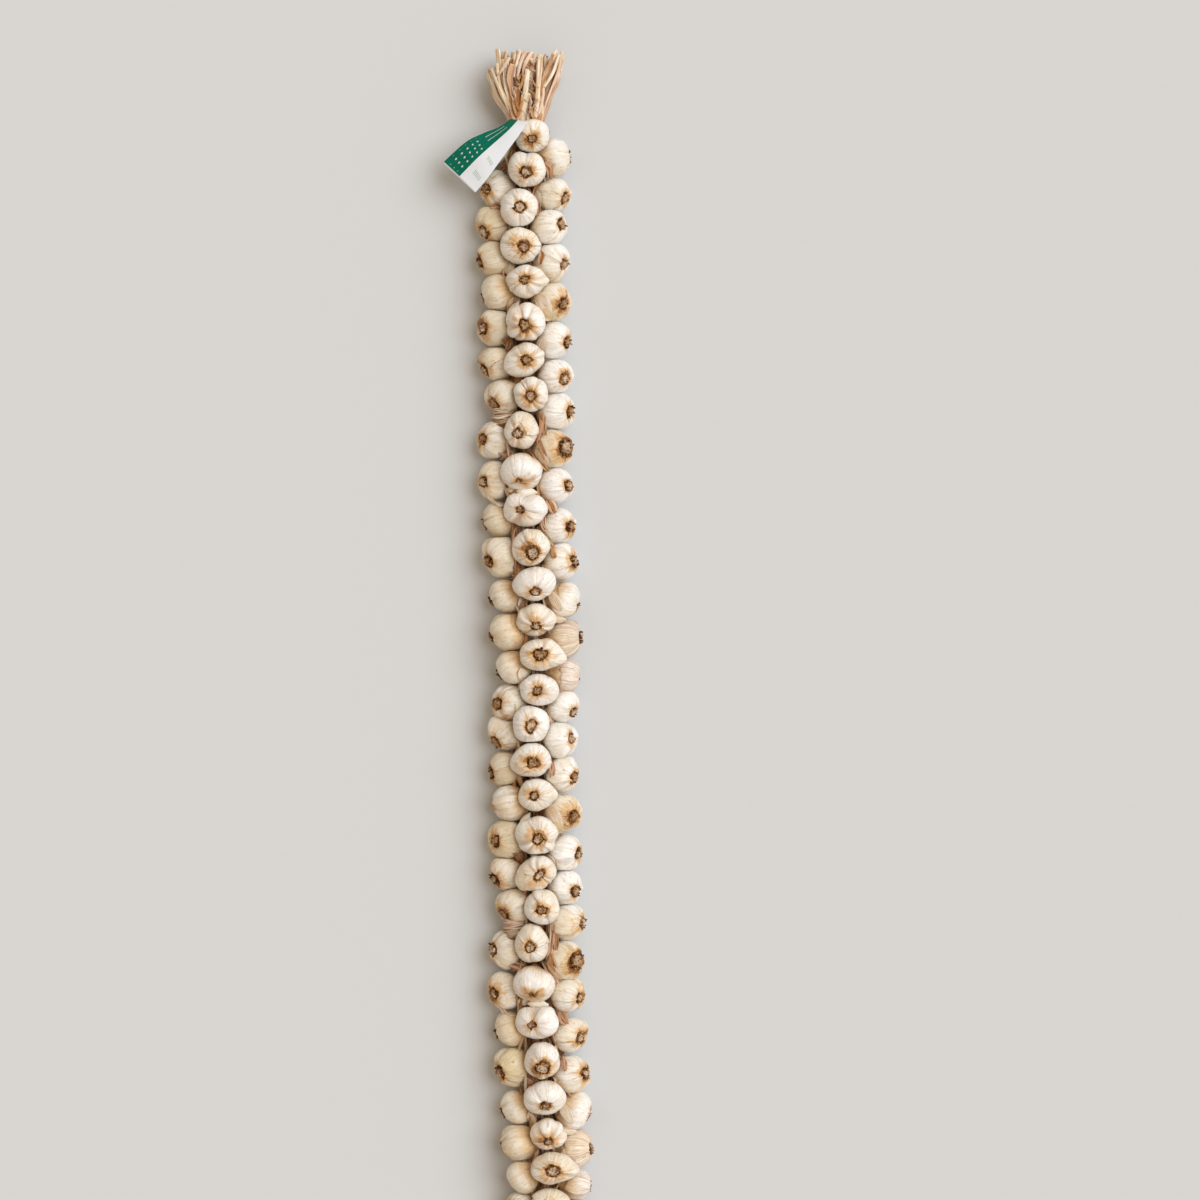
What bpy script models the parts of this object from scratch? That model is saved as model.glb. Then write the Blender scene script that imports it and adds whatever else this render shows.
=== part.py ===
"""A garlic braid: bulbs in three columns, plaited on their own dried stems, with a tuft and a paper tag.

The braid lies on its back. +Y runs along it towards the tuft of cut stems, +X is to the right seen
from the front, and +Z points up, out of its front. Lengths are in metres and angles in degrees.
While it is built, Y is 0 at the middle of the first centre bulb. At the end everything is moved so
that the origin is at the middle of the underside.
"""

import math
import random

import bmesh
import bpy
from mathutils import Matrix, Vector

# The rows of bulbs
ROWS = 31
AXIS_HEIGHT = 0.0015  # the axis that the bulbs lie round, above the underside
CENTRE_REACH = 0.0550  # from that axis out to a bulb's widest point
SIDE_REACH = 0.0470
BULB_SQUASH = 0.94  # a bulb's extent along the braid against its width across it
BULB_SLACK = 0.966  # what is left of a bulb's size once it keeps clear of its neighbours
PLATE_REACH = 0.8  # how far out its root plate is, as a share of its radius
TURNED_AWAY = -0.2  # the rise of a root plate that faces sideways and back
# The bulbs of each column from the tuft down, in millimetres: the middle's place right of the axis and
# below the row of the tuft's foot, the width, the height, and where the root plate shows, again right
# of the middle and below it.
LEFT_BULBS = (
    (-38, 8, 42, 39, -15, 4),
    (-40, 62, 48, 50, -14, 3),
    (-43, 111, 49, 46, -14, 8),
    (-45, 157, 47, 45, -17, 5),
    (-39, 204, 52, 49, -26, 5),
    (-44, 251, 55, 51, -17, 1),
    (-46, 300, 47, 45, -15, 7),
    (-35, 344, 47, 45, -13, 9),
    (-49, 402, 48, 51, -16, 0),
    (-50, 458, 47, 53, -15, 3),
    (-44, 510, 50, 47, -24, 8),
    (-42, 562, 49, 56, -17, 5),
    (-39, 616, 49, 46, -22, 11),
    (-37, 664, 53, 50, -24, 8),
    (-32, 711, 47, 45, -20, 12),
    (-38, 759, 49, 46, -14, 0),
)
CENTRE_BULBS = (
    (11, -4, 47, 45, 0, 7),
    (4, 41, 52, 49, -1, 4),
    (-8, 92, 50, 53, 1, 0),
    (-7, 145, 55, 48, 3, 3),
    (-1, 192, 51, 46, -3, 1),
    (-1, 250, 52, 53, 1, 5),
    (-2, 297, 55, 51, 3, 5),
    (3, 342, 48, 48, -1, 4),
    (-13, 393, 49, 55, -3, 3),
    (-14, 448, 56, 51, -2, 15),
    (-10, 499, 61, 46, -7, 2),
    (-4, 551, 51, 54, 0, 8),
    (4, 605, 59, 49, 1, 10),
    (3, 652, 53, 46, -1, 10),
    (10, 695, 62, 45, -1, 1),
    (5, 739, 53, 45, -3, 1),
)
RIGHT_BULBS = (
    (38, 23, 49, 50, 20, 0),
    (37, 73, 47, 45, 15, 6),
    (32, 117, 49, 46, 15, -1),
    (32, 166, 49, 52, 16, 5),
    (32, 219, 51, 50, 14, 4),
    (33, 270, 52, 49, 18, 3),
    (32, 319, 49, 46, 13, 4),
    (34, 364, 52, 49, 18, 3),
    (31, 417, 55, 51, 15, 1),
    (33, 466, 49, 46, 16, 1),
    (36, 520, 49, 46, 15, 3),
    (37, 571, 53, 50, 18, -1),
    (36, 622, 50, 52, 21, 10),
    (37, 676, 50, 52, 20, -1),
    (39, 725, 46, 43, 20, 5),
    (36, 768, 47, 45, 14, 7),
)
COLUMNS = {"left": LEFT_BULBS, "centre": CENTRE_BULBS, "right": RIGHT_BULBS}
ROWS_AGAIN = 14  # past the end of these lists, the last rows come again in the same order
DOWN_AGAIN = 0.692  # this much further down
# The last row closes the braid: its bulbs lie closer in, and the middle one hangs below the others.
END_BULBS = {
    "left": (-34, 1486, 49, 46, -12, 10),
    "centre": (0, 1508, 49, 47, 0, 17),
    "right": (34, 1496, 49, 46, 12, 11),
}
END_REACH = 0.034
END_DROP = 0.026  # the middle one's knot is this much nearer to it than its own height

TOUCH_GAP = 0.0003  # between two pieces that meet

# How the bulbs settle against each other
BULB_GAP = 0.0006
FLOOR_GAP = 0.0004
SETTLE_STEPS = 160
PULL_HOME = 0.15  # how far each step brings a bulb back towards its planned place
NEIGHBOURS = 9  # bulbs that follow in the list and may touch this one

# One bulb, as shares of its radius: distance out along its axis, and width there
BULB_PROFILE = ((0.74, 0.30), (0.46, 0.84), (0.0, 1.0))
SHOULDER = (-0.70, 0.66)  # from here it narrows to the neck
CLOVES = 5
CLOVE_SEED = 12
CLOVE_GROOVE = 0.93  # the radius between two cloves against that on a clove
NECK_OVERRUN = 0.004  # how far a neck runs on into the knot

# The knot where a row's three necks join the plait
KNOT_RISE = 0.006  # above its row's centre bulb, along the braid
KNOT_HEIGHT = 0.0222  # above the underside, so that it clears the plait
KNOT_RADIUS = 0.0066
KNOT_HALF_LENGTH = 0.013
KNOT_SIDES = 6

# The plait of stems along the back: half its section, from the underside up
PLAIT_HALF_SECTION = ((0.015, 0.0), (0.017, 0.006), (0.009, 0.015))
PLAIT_NARROW = 0.86  # its width between two crossings against that at a crossing

# The tuft of cut stems
TUFT_BASE = 0.0258
TUFT_LENGTH = 0.098
TUFT_BASE_HALF = (0.0235, 0.0210)  # half its width and half its thickness at the neck
TUFT_TOP_HALF = (0.0470, 0.0285)
TUFT_BASE_CENTRE = (0.003, 0.0270)
TUFT_TOP_CENTRE = (0.007, 0.0330)
TUFT_SPREAD_POWER = 0.85  # under 1, it widens soonest near the neck
TUFT_RINGS = 5
TUFT_SIDES = 24
TUFT_FLUTES = 8
TUFT_FLUTE_DEPTH = 0.09
TUFT_UNEVEN = 0.008  # how far the stems' cut ends differ in height
TUFT_DISH = 0.014  # how deep the middle of the cut end lies

# The paper tag, from the neck out to its free end: corners of its upper and lower edge
TAG_UPPER = (Vector((-0.0180, 0.0235, 0.0450)), Vector((-0.1120, -0.0270, 0.0440)))
TAG_LOWER = (Vector((-0.0180, 0.0030, 0.0505)), Vector((-0.0675, -0.0700, 0.0560)))
TAG_UPPER_BOW = Vector((0.0, 0.0080, 0.0080))  # how far each edge bows at its middle
TAG_LOWER_BOW = Vector((-0.0060, 0.0, 0.0080))
TAG_THICKNESS = 0.0012
TAG_STEPS_ALONG = 8
TAG_STEPS_ACROSS = 3

SMOOTH_ANGLE = 60.0  # edges that bend less are shaded smooth


class Bulb:
    """One bulb: where its widest point is, how large it is, and where its root plate faces."""

    def __init__(self, radius, centre, axis):
        self.radius = radius
        self.centre = centre
        self.axis = axis
        self.home = centre.copy()


def planned_bulb(row, column):
    """The bulb of this row and column before it meets its neighbours."""
    listed = COLUMNS[column]
    down = 0.0
    if row == ROWS - 1:
        measures = END_BULBS[column]
    elif row < len(listed):
        measures = listed[row]
    else:
        measures = listed[row - ROWS_AGAIN]
        down = DOWN_AGAIN
    x, below, width, height, plate_x, plate_below = (value / 1000 for value in measures)
    radius = math.sqrt(width * height / BULB_SQUASH) / 2 * BULB_SLACK
    reach = CENTRE_REACH if column == "centre" else SIDE_REACH
    if column == "centre" and row == ROWS - 1:
        reach = END_REACH
    rise = math.sqrt(max(reach**2 - x**2, 0.0))
    centre = Vector((x, -below - down, AXIS_HEIGHT + rise))
    axis = Vector((plate_x, -plate_below, 0.0)) / (PLATE_REACH * radius)
    axis.z = math.sqrt(1 - axis.length_squared) if axis.length_squared < 1 else TURNED_AWAY
    return Bulb(radius, centre, axis.normalized())


def push_apart(one, other):
    """Move two bulbs that overlap half of that each way. Along the braid they are flatter."""
    apart = other.centre - one.centre
    apart.y /= BULB_SQUASH
    short = one.radius + other.radius + BULB_GAP - apart.length
    if short > 0:
        push = apart.normalized() * short / 2
        push.y *= BULB_SQUASH
        one.centre -= push
        other.centre += push


def shrink_to_fit(bulbs):
    """Take off each bulb what would still overlap a neighbour."""
    room = [bulb.radius for bulb in bulbs]
    for i, one in enumerate(bulbs):
        for j in range(i + 1, min(i + NEIGHBOURS, len(bulbs))):
            apart = bulbs[j].centre - one.centre
            apart.y /= BULB_SQUASH
            share = (apart.length - BULB_GAP) / (one.radius + bulbs[j].radius)
            room[i] = min(room[i], one.radius * share)
            room[j] = min(room[j], bulbs[j].radius * share)
    for bulb, radius in zip(bulbs, room):
        bulb.radius = radius


def laid_bulbs():
    """Every bulb where it lies against its neighbours, from the tuft down."""
    bulbs = [planned_bulb(row, column) for row in range(ROWS) for column in COLUMNS]
    for _ in range(SETTLE_STEPS):
        for bulb in bulbs:
            bulb.centre += (bulb.home - bulb.centre) * PULL_HOME
        for i, one in enumerate(bulbs):
            for other in bulbs[i + 1 : i + NEIGHBOURS]:
                push_apart(one, other)
        for bulb in bulbs:
            bulb.centre.z = max(bulb.centre.z, bulb.radius + FLOOR_GAP)
    shrink_to_fit(bulbs)
    return bulbs


def bridge(mesh, first, second):
    """Faces between two rings, the second with as many points as the first or with half as many."""
    count = len(first)
    if len(second) == count:
        for i in range(count):
            j = (i + 1) % count
            mesh.faces.new((first[i], first[j], second[j], second[i]))
        return
    for i in range(len(second)):
        j = (i + 1) % len(second)
        middle = first[2 * i + 1]
        mesh.faces.new((first[2 * i], middle, second[i]))
        mesh.faces.new((middle, second[j], second[i]))
        mesh.faces.new((middle, first[2 * j], second[j]))


def ring_body(name, rings, start_tip=None, end_tip=None):
    """A closed mesh through rings of points, ended flat or in a tip at either end."""
    mesh = bmesh.new()
    loops = [[mesh.verts.new(point) for point in ring] for ring in rings]
    for first, second in zip(loops, loops[1:]):
        bridge(mesh, first, second)
    for loop, tip in ((loops[0], start_tip), (loops[-1], end_tip)):
        if tip is None:
            mesh.faces.new(loop)
        else:
            point = mesh.verts.new(tip)
            for i in range(len(loop)):
                mesh.faces.new((loop[i], loop[(i + 1) % len(loop)], point))
    bmesh.ops.recalc_face_normals(mesh, faces=mesh.faces)
    data = bpy.data.meshes.new(name)
    mesh.to_mesh(data)
    mesh.free()
    return data


def add_object(name, data, material):
    """A named object with its own material, smooth where it is round."""
    body = bpy.data.objects.new(name, data)
    bpy.context.collection.objects.link(body)
    data.materials.clear()
    data.materials.append(material)
    data.shade_smooth()
    data.set_sharp_from_angle(angle=math.radians(SMOOTH_ANGLE))
    return body


def new_material(name, colour, roughness):
    material = bpy.data.materials.new(name)
    material.use_nodes = True
    shader = material.node_tree.nodes["Principled BSDF"]
    shader.inputs["Base Color"].default_value = (*colour, 1.0)
    shader.inputs["Roughness"].default_value = roughness
    shader.inputs["Metallic"].default_value = 0.0
    return material


def bulb_point(bulb, out, width, angle):
    """A point round a bulb's axis. The distances are shares of the bulb's radius."""
    across = bulb.axis.cross(Vector((0.0, 1.0, 0.0))).normalized()
    along = across.cross(bulb.axis)
    offset = bulb.axis * out + (across * math.cos(angle) + along * math.sin(angle)) * width
    offset.y *= BULB_SQUASH
    return bulb.centre + offset * bulb.radius


def bulb_mesh(bulb, knot, turn):
    """A bulb's closed body: root plate, cloves, shoulder, and a neck that runs into the knot."""
    sides = 2 * CLOVES
    rings = []
    for out, width in BULB_PROFILE:
        widths = [width * (1.0 if i % 2 == 0 else CLOVE_GROOVE) for i in range(sides)]
        rings.append([bulb_point(bulb, out, widths[i], turn + math.tau * i / sides) for i in range(sides)])
    out, width = SHOULDER
    rings.append([bulb_point(bulb, out, width, turn + math.tau * i / CLOVES) for i in range(CLOVES)])
    inward = (knot - bulb.centre).normalized()
    return ring_body("bulb", rings, end_tip=knot + inward * NECK_OVERRUN)


def knot_mesh(knot):
    """The knot of stems: a long six-sided spindle along the braid."""
    ring = []
    for i in range(KNOT_SIDES):
        angle = math.tau * (i + 0.5) / KNOT_SIDES
        ring.append(knot + Vector((math.cos(angle), 0.0, math.sin(angle))) * KNOT_RADIUS)
    reach = Vector((0.0, KNOT_HALF_LENGTH, 0.0))
    return ring_body("knot", [ring], start_tip=knot - reach, end_tip=knot + reach)


def union(name, meshes, material):
    """One object that is the Boolean union of the given meshes."""
    body = add_object(name, meshes[0], material)
    parts = []
    for data in meshes[1:]:
        part = bpy.data.objects.new(name + "_part", data)
        bpy.context.collection.objects.link(part)
        join = body.modifiers.new("union", "BOOLEAN")
        join.operation = "UNION"
        join.object = part
        parts.append(part)
    graph = bpy.context.evaluated_depsgraph_get()
    joined = bpy.data.meshes.new_from_object(body.evaluated_get(graph))
    bpy.data.objects.remove(body)
    for part in parts:
        bpy.data.objects.remove(part)
    return add_object(name, joined, material)


def knot_of(bulbs, row):
    """Where a row's necks meet: over the plait, a little above its centre bulb."""
    y = bulbs[3 * row + 1].centre.y + KNOT_RISE
    if row == ROWS - 1:
        y += END_DROP
    return Vector((0.0, y, KNOT_HEIGHT))


def make_rows(bulbs):
    material = new_material("garlic_skin", (0.80, 0.72, 0.60), 0.55)
    rng = random.Random(CLOVE_SEED)
    bodies = []
    for row in range(ROWS):
        knot = knot_of(bulbs, row)
        meshes = [knot_mesh(knot)]
        for bulb in bulbs[3 * row : 3 * row + 3]:
            meshes.append(bulb_mesh(bulb, knot, rng.uniform(0, math.tau)))
        bodies.append(union(f"bulb_row_{row + 1:02d}", meshes, material))
    return bodies


def make_plait(bulbs):
    """A bar with a flat underside and scalloped edges, about a scallop to every second row."""
    material = new_material("plait_stem", (0.42, 0.27, 0.14), 0.75)
    top = TUFT_BASE - TOUCH_GAP
    bottom = knot_of(bulbs, ROWS - 1).y
    steps = 2 * (ROWS // 2)
    rings = []
    for step in range(steps + 1):
        y = top + (bottom - top) * step / steps
        width = 1.0 if step % 2 == 0 else PLAIT_NARROW
        right = [Vector((x * width, y, z)) for x, z in PLAIT_HALF_SECTION]
        left = [Vector((-x * width, y, z)) for x, z in reversed(PLAIT_HALF_SECTION)]
        rings.append(right + left)
    return add_object("plait", ring_body("plait", rings), material)


def tuft_ring(share):
    """One ring of the tuft's outline, this share of the way up it, with deeper flutes towards the top."""
    spread = share**TUFT_SPREAD_POWER
    half_width = TUFT_BASE_HALF[0] + (TUFT_TOP_HALF[0] - TUFT_BASE_HALF[0]) * spread
    half_depth = TUFT_BASE_HALF[1] + (TUFT_TOP_HALF[1] - TUFT_BASE_HALF[1]) * spread
    x = TUFT_BASE_CENTRE[0] + (TUFT_TOP_CENTRE[0] - TUFT_BASE_CENTRE[0]) * share
    z = TUFT_BASE_CENTRE[1] + (TUFT_TOP_CENTRE[1] - TUFT_BASE_CENTRE[1]) * share
    ring = []
    for i in range(TUFT_SIDES):
        angle = math.tau * i / TUFT_SIDES
        flute = 1 + TUFT_FLUTE_DEPTH * share * math.cos(TUFT_FLUTES * angle)
        height = share * TUFT_UNEVEN * (math.sin(3 * angle + 1) + math.sin(5 * angle) / 2)
        point = Vector((math.cos(angle) * half_width, 0.0, math.sin(angle) * half_depth)) * flute
        ring.append(point + Vector((x, TUFT_BASE + TUFT_LENGTH * share + height, z)))
    return ring


def make_tuft():
    """The fan of cut stems as one fluted body, dished at its uneven cut end."""
    material = new_material("tuft_straw", (0.72, 0.52, 0.32), 0.7)
    rings = [tuft_ring(step / (TUFT_RINGS - 1)) for step in range(TUFT_RINGS)]
    middle = Vector((TUFT_TOP_CENTRE[0], TUFT_BASE + TUFT_LENGTH - TUFT_DISH, TUFT_TOP_CENTRE[1]))
    return add_object("tuft", ring_body("tuft", rings, end_tip=middle), material)


def tag_point(along, across):
    """A point of the tag's middle surface, from neck to free end and from upper to lower edge."""
    bow = 4 * along * (1 - along)
    upper = TAG_UPPER[0].lerp(TAG_UPPER[1], along) + TAG_UPPER_BOW * bow
    lower = TAG_LOWER[0].lerp(TAG_LOWER[1], along) + TAG_LOWER_BOW * bow
    return upper.lerp(lower, across)


def make_tag():
    """The paper tag: a curved strip, thickened upwards and downwards from its middle surface."""
    material = new_material("tag_paper", (0.62, 0.70, 0.66), 0.6)
    half = Vector((0.0, 0.0, TAG_THICKNESS / 2))
    rings = []
    for step in range(TAG_STEPS_ALONG + 1):
        line = [tag_point(step / TAG_STEPS_ALONG, i / TAG_STEPS_ACROSS) for i in range(TAG_STEPS_ACROSS + 1)]
        rings.append([point + half for point in line] + [point - half for point in reversed(line)])
    return add_object("tag", ring_body("tag", rings), material)


def move_to_origin(bodies):
    """Put the origin at the middle of the whole braid's underside."""
    points = [point.co for body in bodies for point in body.data.vertices]
    lowest = Vector([min(point[axis] for point in points) for axis in range(3)])
    highest = Vector([max(point[axis] for point in points) for axis in range(3)])
    origin = (lowest + highest) / 2
    origin.z = lowest.z
    for body in bodies:
        body.data.transform(Matrix.Translation(-origin))


def main():
    for leftover in list(bpy.data.objects):
        bpy.data.objects.remove(leftover)
    bulbs = laid_bulbs()
    bodies = make_rows(bulbs)
    bodies.append(make_plait(bulbs))
    bodies.append(make_tuft())
    bodies.append(make_tag())
    move_to_origin(bodies)


main()
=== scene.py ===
"""The looks of a garlic braid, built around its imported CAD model.

The braid lies on its back on a pale floor, and the camera looks down on it. +Y runs along the braid
towards the tuft, +X is to the right and +Z points up. Lengths are in metres, angles in degrees.
The layout of the bulbs is worked out as part.py does it, and the plait's box ties it to the frame.
"""

import math
from types import SimpleNamespace

import bpy
import numpy as np
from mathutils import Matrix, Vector


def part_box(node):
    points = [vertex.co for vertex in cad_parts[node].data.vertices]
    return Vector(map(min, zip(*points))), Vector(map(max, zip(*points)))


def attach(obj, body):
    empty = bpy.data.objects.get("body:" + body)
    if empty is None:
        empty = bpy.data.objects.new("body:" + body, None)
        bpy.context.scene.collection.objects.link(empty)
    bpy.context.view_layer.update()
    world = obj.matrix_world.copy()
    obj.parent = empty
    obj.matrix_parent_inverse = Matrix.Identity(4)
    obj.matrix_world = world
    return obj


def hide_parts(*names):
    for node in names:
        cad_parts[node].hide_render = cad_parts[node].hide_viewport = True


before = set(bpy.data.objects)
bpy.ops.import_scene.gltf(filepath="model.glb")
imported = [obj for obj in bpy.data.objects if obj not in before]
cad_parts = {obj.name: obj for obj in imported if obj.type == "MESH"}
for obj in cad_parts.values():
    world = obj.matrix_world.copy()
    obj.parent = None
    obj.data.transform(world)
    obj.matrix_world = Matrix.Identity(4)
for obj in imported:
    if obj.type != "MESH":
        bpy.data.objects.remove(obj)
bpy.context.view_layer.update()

# ---- the layout, as in part.py

ROWS = 31
AXIS_HEIGHT = 0.0015  # the axis that the bulbs lie round, above the underside
CENTRE_REACH = 0.0550  # from that axis out to a bulb's widest point
SIDE_REACH = 0.0470
BULB_SQUASH = 0.94  # a bulb's extent along the braid against its width across it
BULB_SLACK = 0.966  # what is left of a bulb's size once it keeps clear of its neighbours
PLATE_REACH = 0.8  # how far out its root plate is, as a share of its radius
TURNED_AWAY = -0.2  # the rise of a root plate that faces sideways and back
# The bulbs of each column from the tuft down, in millimetres: the middle's place right of the axis and
# below the row of the tuft's foot, the width, the height, and where the root plate shows, again right
# of the middle and below it.
LEFT_BULBS = (
    (-38, 8, 42, 39, -15, 4),
    (-40, 62, 48, 50, -14, 3),
    (-43, 111, 49, 46, -14, 8),
    (-45, 157, 47, 45, -17, 5),
    (-39, 204, 52, 49, -26, 5),
    (-44, 251, 55, 51, -17, 1),
    (-46, 300, 47, 45, -15, 7),
    (-35, 344, 47, 45, -13, 9),
    (-49, 402, 48, 51, -16, 0),
    (-50, 458, 47, 53, -15, 3),
    (-44, 510, 50, 47, -24, 8),
    (-42, 562, 49, 56, -17, 5),
    (-39, 616, 49, 46, -22, 11),
    (-37, 664, 53, 50, -24, 8),
    (-32, 711, 47, 45, -20, 12),
    (-38, 759, 49, 46, -14, 0),
)
CENTRE_BULBS = (
    (11, -4, 47, 45, 0, 7),
    (4, 41, 52, 49, -1, 4),
    (-8, 92, 50, 53, 1, 0),
    (-7, 145, 55, 48, 3, 3),
    (-1, 192, 51, 46, -3, 1),
    (-1, 250, 52, 53, 1, 5),
    (-2, 297, 55, 51, 3, 5),
    (3, 342, 48, 48, -1, 4),
    (-13, 393, 49, 55, -3, 3),
    (-14, 448, 56, 51, -2, 15),
    (-10, 499, 61, 46, -7, 2),
    (-4, 551, 51, 54, 0, 8),
    (4, 605, 59, 49, 1, 10),
    (3, 652, 53, 46, -1, 10),
    (10, 695, 62, 45, -1, 1),
    (5, 739, 53, 45, -3, 1),
)
RIGHT_BULBS = (
    (38, 23, 49, 50, 20, 0),
    (37, 73, 47, 45, 15, 6),
    (32, 117, 49, 46, 15, -1),
    (32, 166, 49, 52, 16, 5),
    (32, 219, 51, 50, 14, 4),
    (33, 270, 52, 49, 18, 3),
    (32, 319, 49, 46, 13, 4),
    (34, 364, 52, 49, 18, 3),
    (31, 417, 55, 51, 15, 1),
    (33, 466, 49, 46, 16, 1),
    (36, 520, 49, 46, 15, 3),
    (37, 571, 53, 50, 18, -1),
    (36, 622, 50, 52, 21, 10),
    (37, 676, 50, 52, 20, -1),
    (39, 725, 46, 43, 20, 5),
    (36, 768, 47, 45, 14, 7),
)
COLUMNS = {"left": LEFT_BULBS, "centre": CENTRE_BULBS, "right": RIGHT_BULBS}
ROWS_AGAIN = 14  # past the end of these lists, the last rows come again in the same order
DOWN_AGAIN = 0.692  # this much further down
# The last row closes the braid: its bulbs lie closer in, and the middle one hangs below the others.
END_BULBS = {
    "left": (-34, 1486, 49, 46, -12, 10),
    "centre": (0, 1508, 49, 47, 0, 17),
    "right": (34, 1496, 49, 46, 12, 11),
}
END_REACH = 0.034
END_DROP = 0.026  # the middle one's knot is this much nearer to it than its own height
BULB_GAP = 0.0006
FLOOR_GAP = 0.0004
SETTLE_STEPS = 160
PULL_HOME = 0.15
NEIGHBOURS = 9
KNOT_RISE = 0.006
KNOT_HEIGHT = 0.0222
TUFT_BASE = 0.0258
TOUCH_GAP = 0.0003


def planned_bulb(row, column):
    """The bulb of this row and column before it meets its neighbours.

    centre is its widest point's middle and home the place that it is pulled to; axis is where its root
    plate faces, and spread its width against its extent along the braid.
    """
    listed = COLUMNS[column]
    down = 0.0
    if row == ROWS - 1:
        measures = END_BULBS[column]
    elif row < len(listed):
        measures = listed[row]
    else:
        measures = listed[row - ROWS_AGAIN]
        down = DOWN_AGAIN
    x, below, width, height, plate_x, plate_below = (value / 1000 for value in measures)
    radius = math.sqrt(width * height / BULB_SQUASH) / 2 * BULB_SLACK
    reach = CENTRE_REACH if column == "centre" else SIDE_REACH
    if column == "centre" and row == ROWS - 1:
        reach = END_REACH
    centre = Vector((x, -below - down, AXIS_HEIGHT + math.sqrt(max(reach**2 - x**2, 0.0))))
    axis = Vector((plate_x, -plate_below, 0.0)) / (PLATE_REACH * radius)
    axis.z = math.sqrt(1 - axis.length_squared) if axis.length_squared < 1 else TURNED_AWAY
    spread = math.sqrt(width * BULB_SQUASH / height)
    bulb = SimpleNamespace(row=row, column=column, radius=radius, centre=centre, spread=spread)
    bulb.home = centre.copy()
    bulb.axis = axis.normalized()
    return bulb


def apart(one, other):
    """From one bulb's middle to another's, stretched along the braid so that flattened bulbs are round."""
    between = other.centre - one.centre
    between.y /= BULB_SQUASH
    return between


def push_apart(one, other):
    """Move two bulbs that overlap half of that each way."""
    way = apart(one, other)
    short = one.radius + other.radius + BULB_GAP - way.length
    if short > 0:
        push = way.normalized() * short / 2
        push.y *= BULB_SQUASH
        one.centre -= push
        other.centre += push


def shrink_to_fit(bulbs):
    """Take off each bulb what would still overlap a neighbour."""
    room = [bulb.radius for bulb in bulbs]
    for i, one in enumerate(bulbs):
        for j in range(i + 1, min(i + NEIGHBOURS, len(bulbs))):
            share = (apart(one, bulbs[j]).length - BULB_GAP) / (one.radius + bulbs[j].radius)
            room[i] = min(room[i], one.radius * share)
            room[j] = min(room[j], bulbs[j].radius * share)
    for bulb, radius in zip(bulbs, room):
        bulb.radius = radius


def laid_bulbs():
    """Every bulb where it lies against its neighbours, from the tuft down."""
    bulbs = [planned_bulb(row, column) for row in range(ROWS) for column in COLUMNS]
    for _ in range(SETTLE_STEPS):
        for bulb in bulbs:
            bulb.centre += (bulb.home - bulb.centre) * PULL_HOME
        for i, one in enumerate(bulbs):
            for other in bulbs[i + 1 : i + NEIGHBOURS]:
                push_apart(one, other)
        for bulb in bulbs:
            bulb.centre.z = max(bulb.centre.z, bulb.radius + FLOOR_GAP)
    shrink_to_fit(bulbs)
    return bulbs


def knot_of(bulbs, row):
    """Where a row's necks meet: over the plait, a little above its centre bulb."""
    y = bulbs[3 * row + 1].centre.y + KNOT_RISE
    if row == ROWS - 1:
        y += END_DROP
    return Vector((0.0, y, KNOT_HEIGHT))


BULBS = laid_bulbs()
PLAIT_LOW, PLAIT_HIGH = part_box("plait")
# The frame's origin is the middle of the underside; the layout's is under the first centre bulb.
SHIFT = Vector(((PLAIT_LOW.x + PLAIT_HIGH.x) / 2, PLAIT_HIGH.y - (TUFT_BASE - TOUCH_GAP), 0.0))

# ---- meshes


def enclosed(rings):
    """Six times the volume inside the rings, below 0 if the faces between them look inward."""
    rings = rings - rings.mean(axis=(0, 1))
    ahead = np.roll(rings, -1, axis=1)
    side = np.sum(rings[:-1] * (np.cross(ahead[:-1], ahead[1:]) + np.cross(ahead[1:], rings[1:])))
    first = np.sum(rings[0].mean(axis=0) * np.cross(ahead[0], rings[0]))
    last = np.sum(rings[-1].mean(axis=0) * np.cross(rings[-1], ahead[-1]))
    return side + first + last


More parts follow.
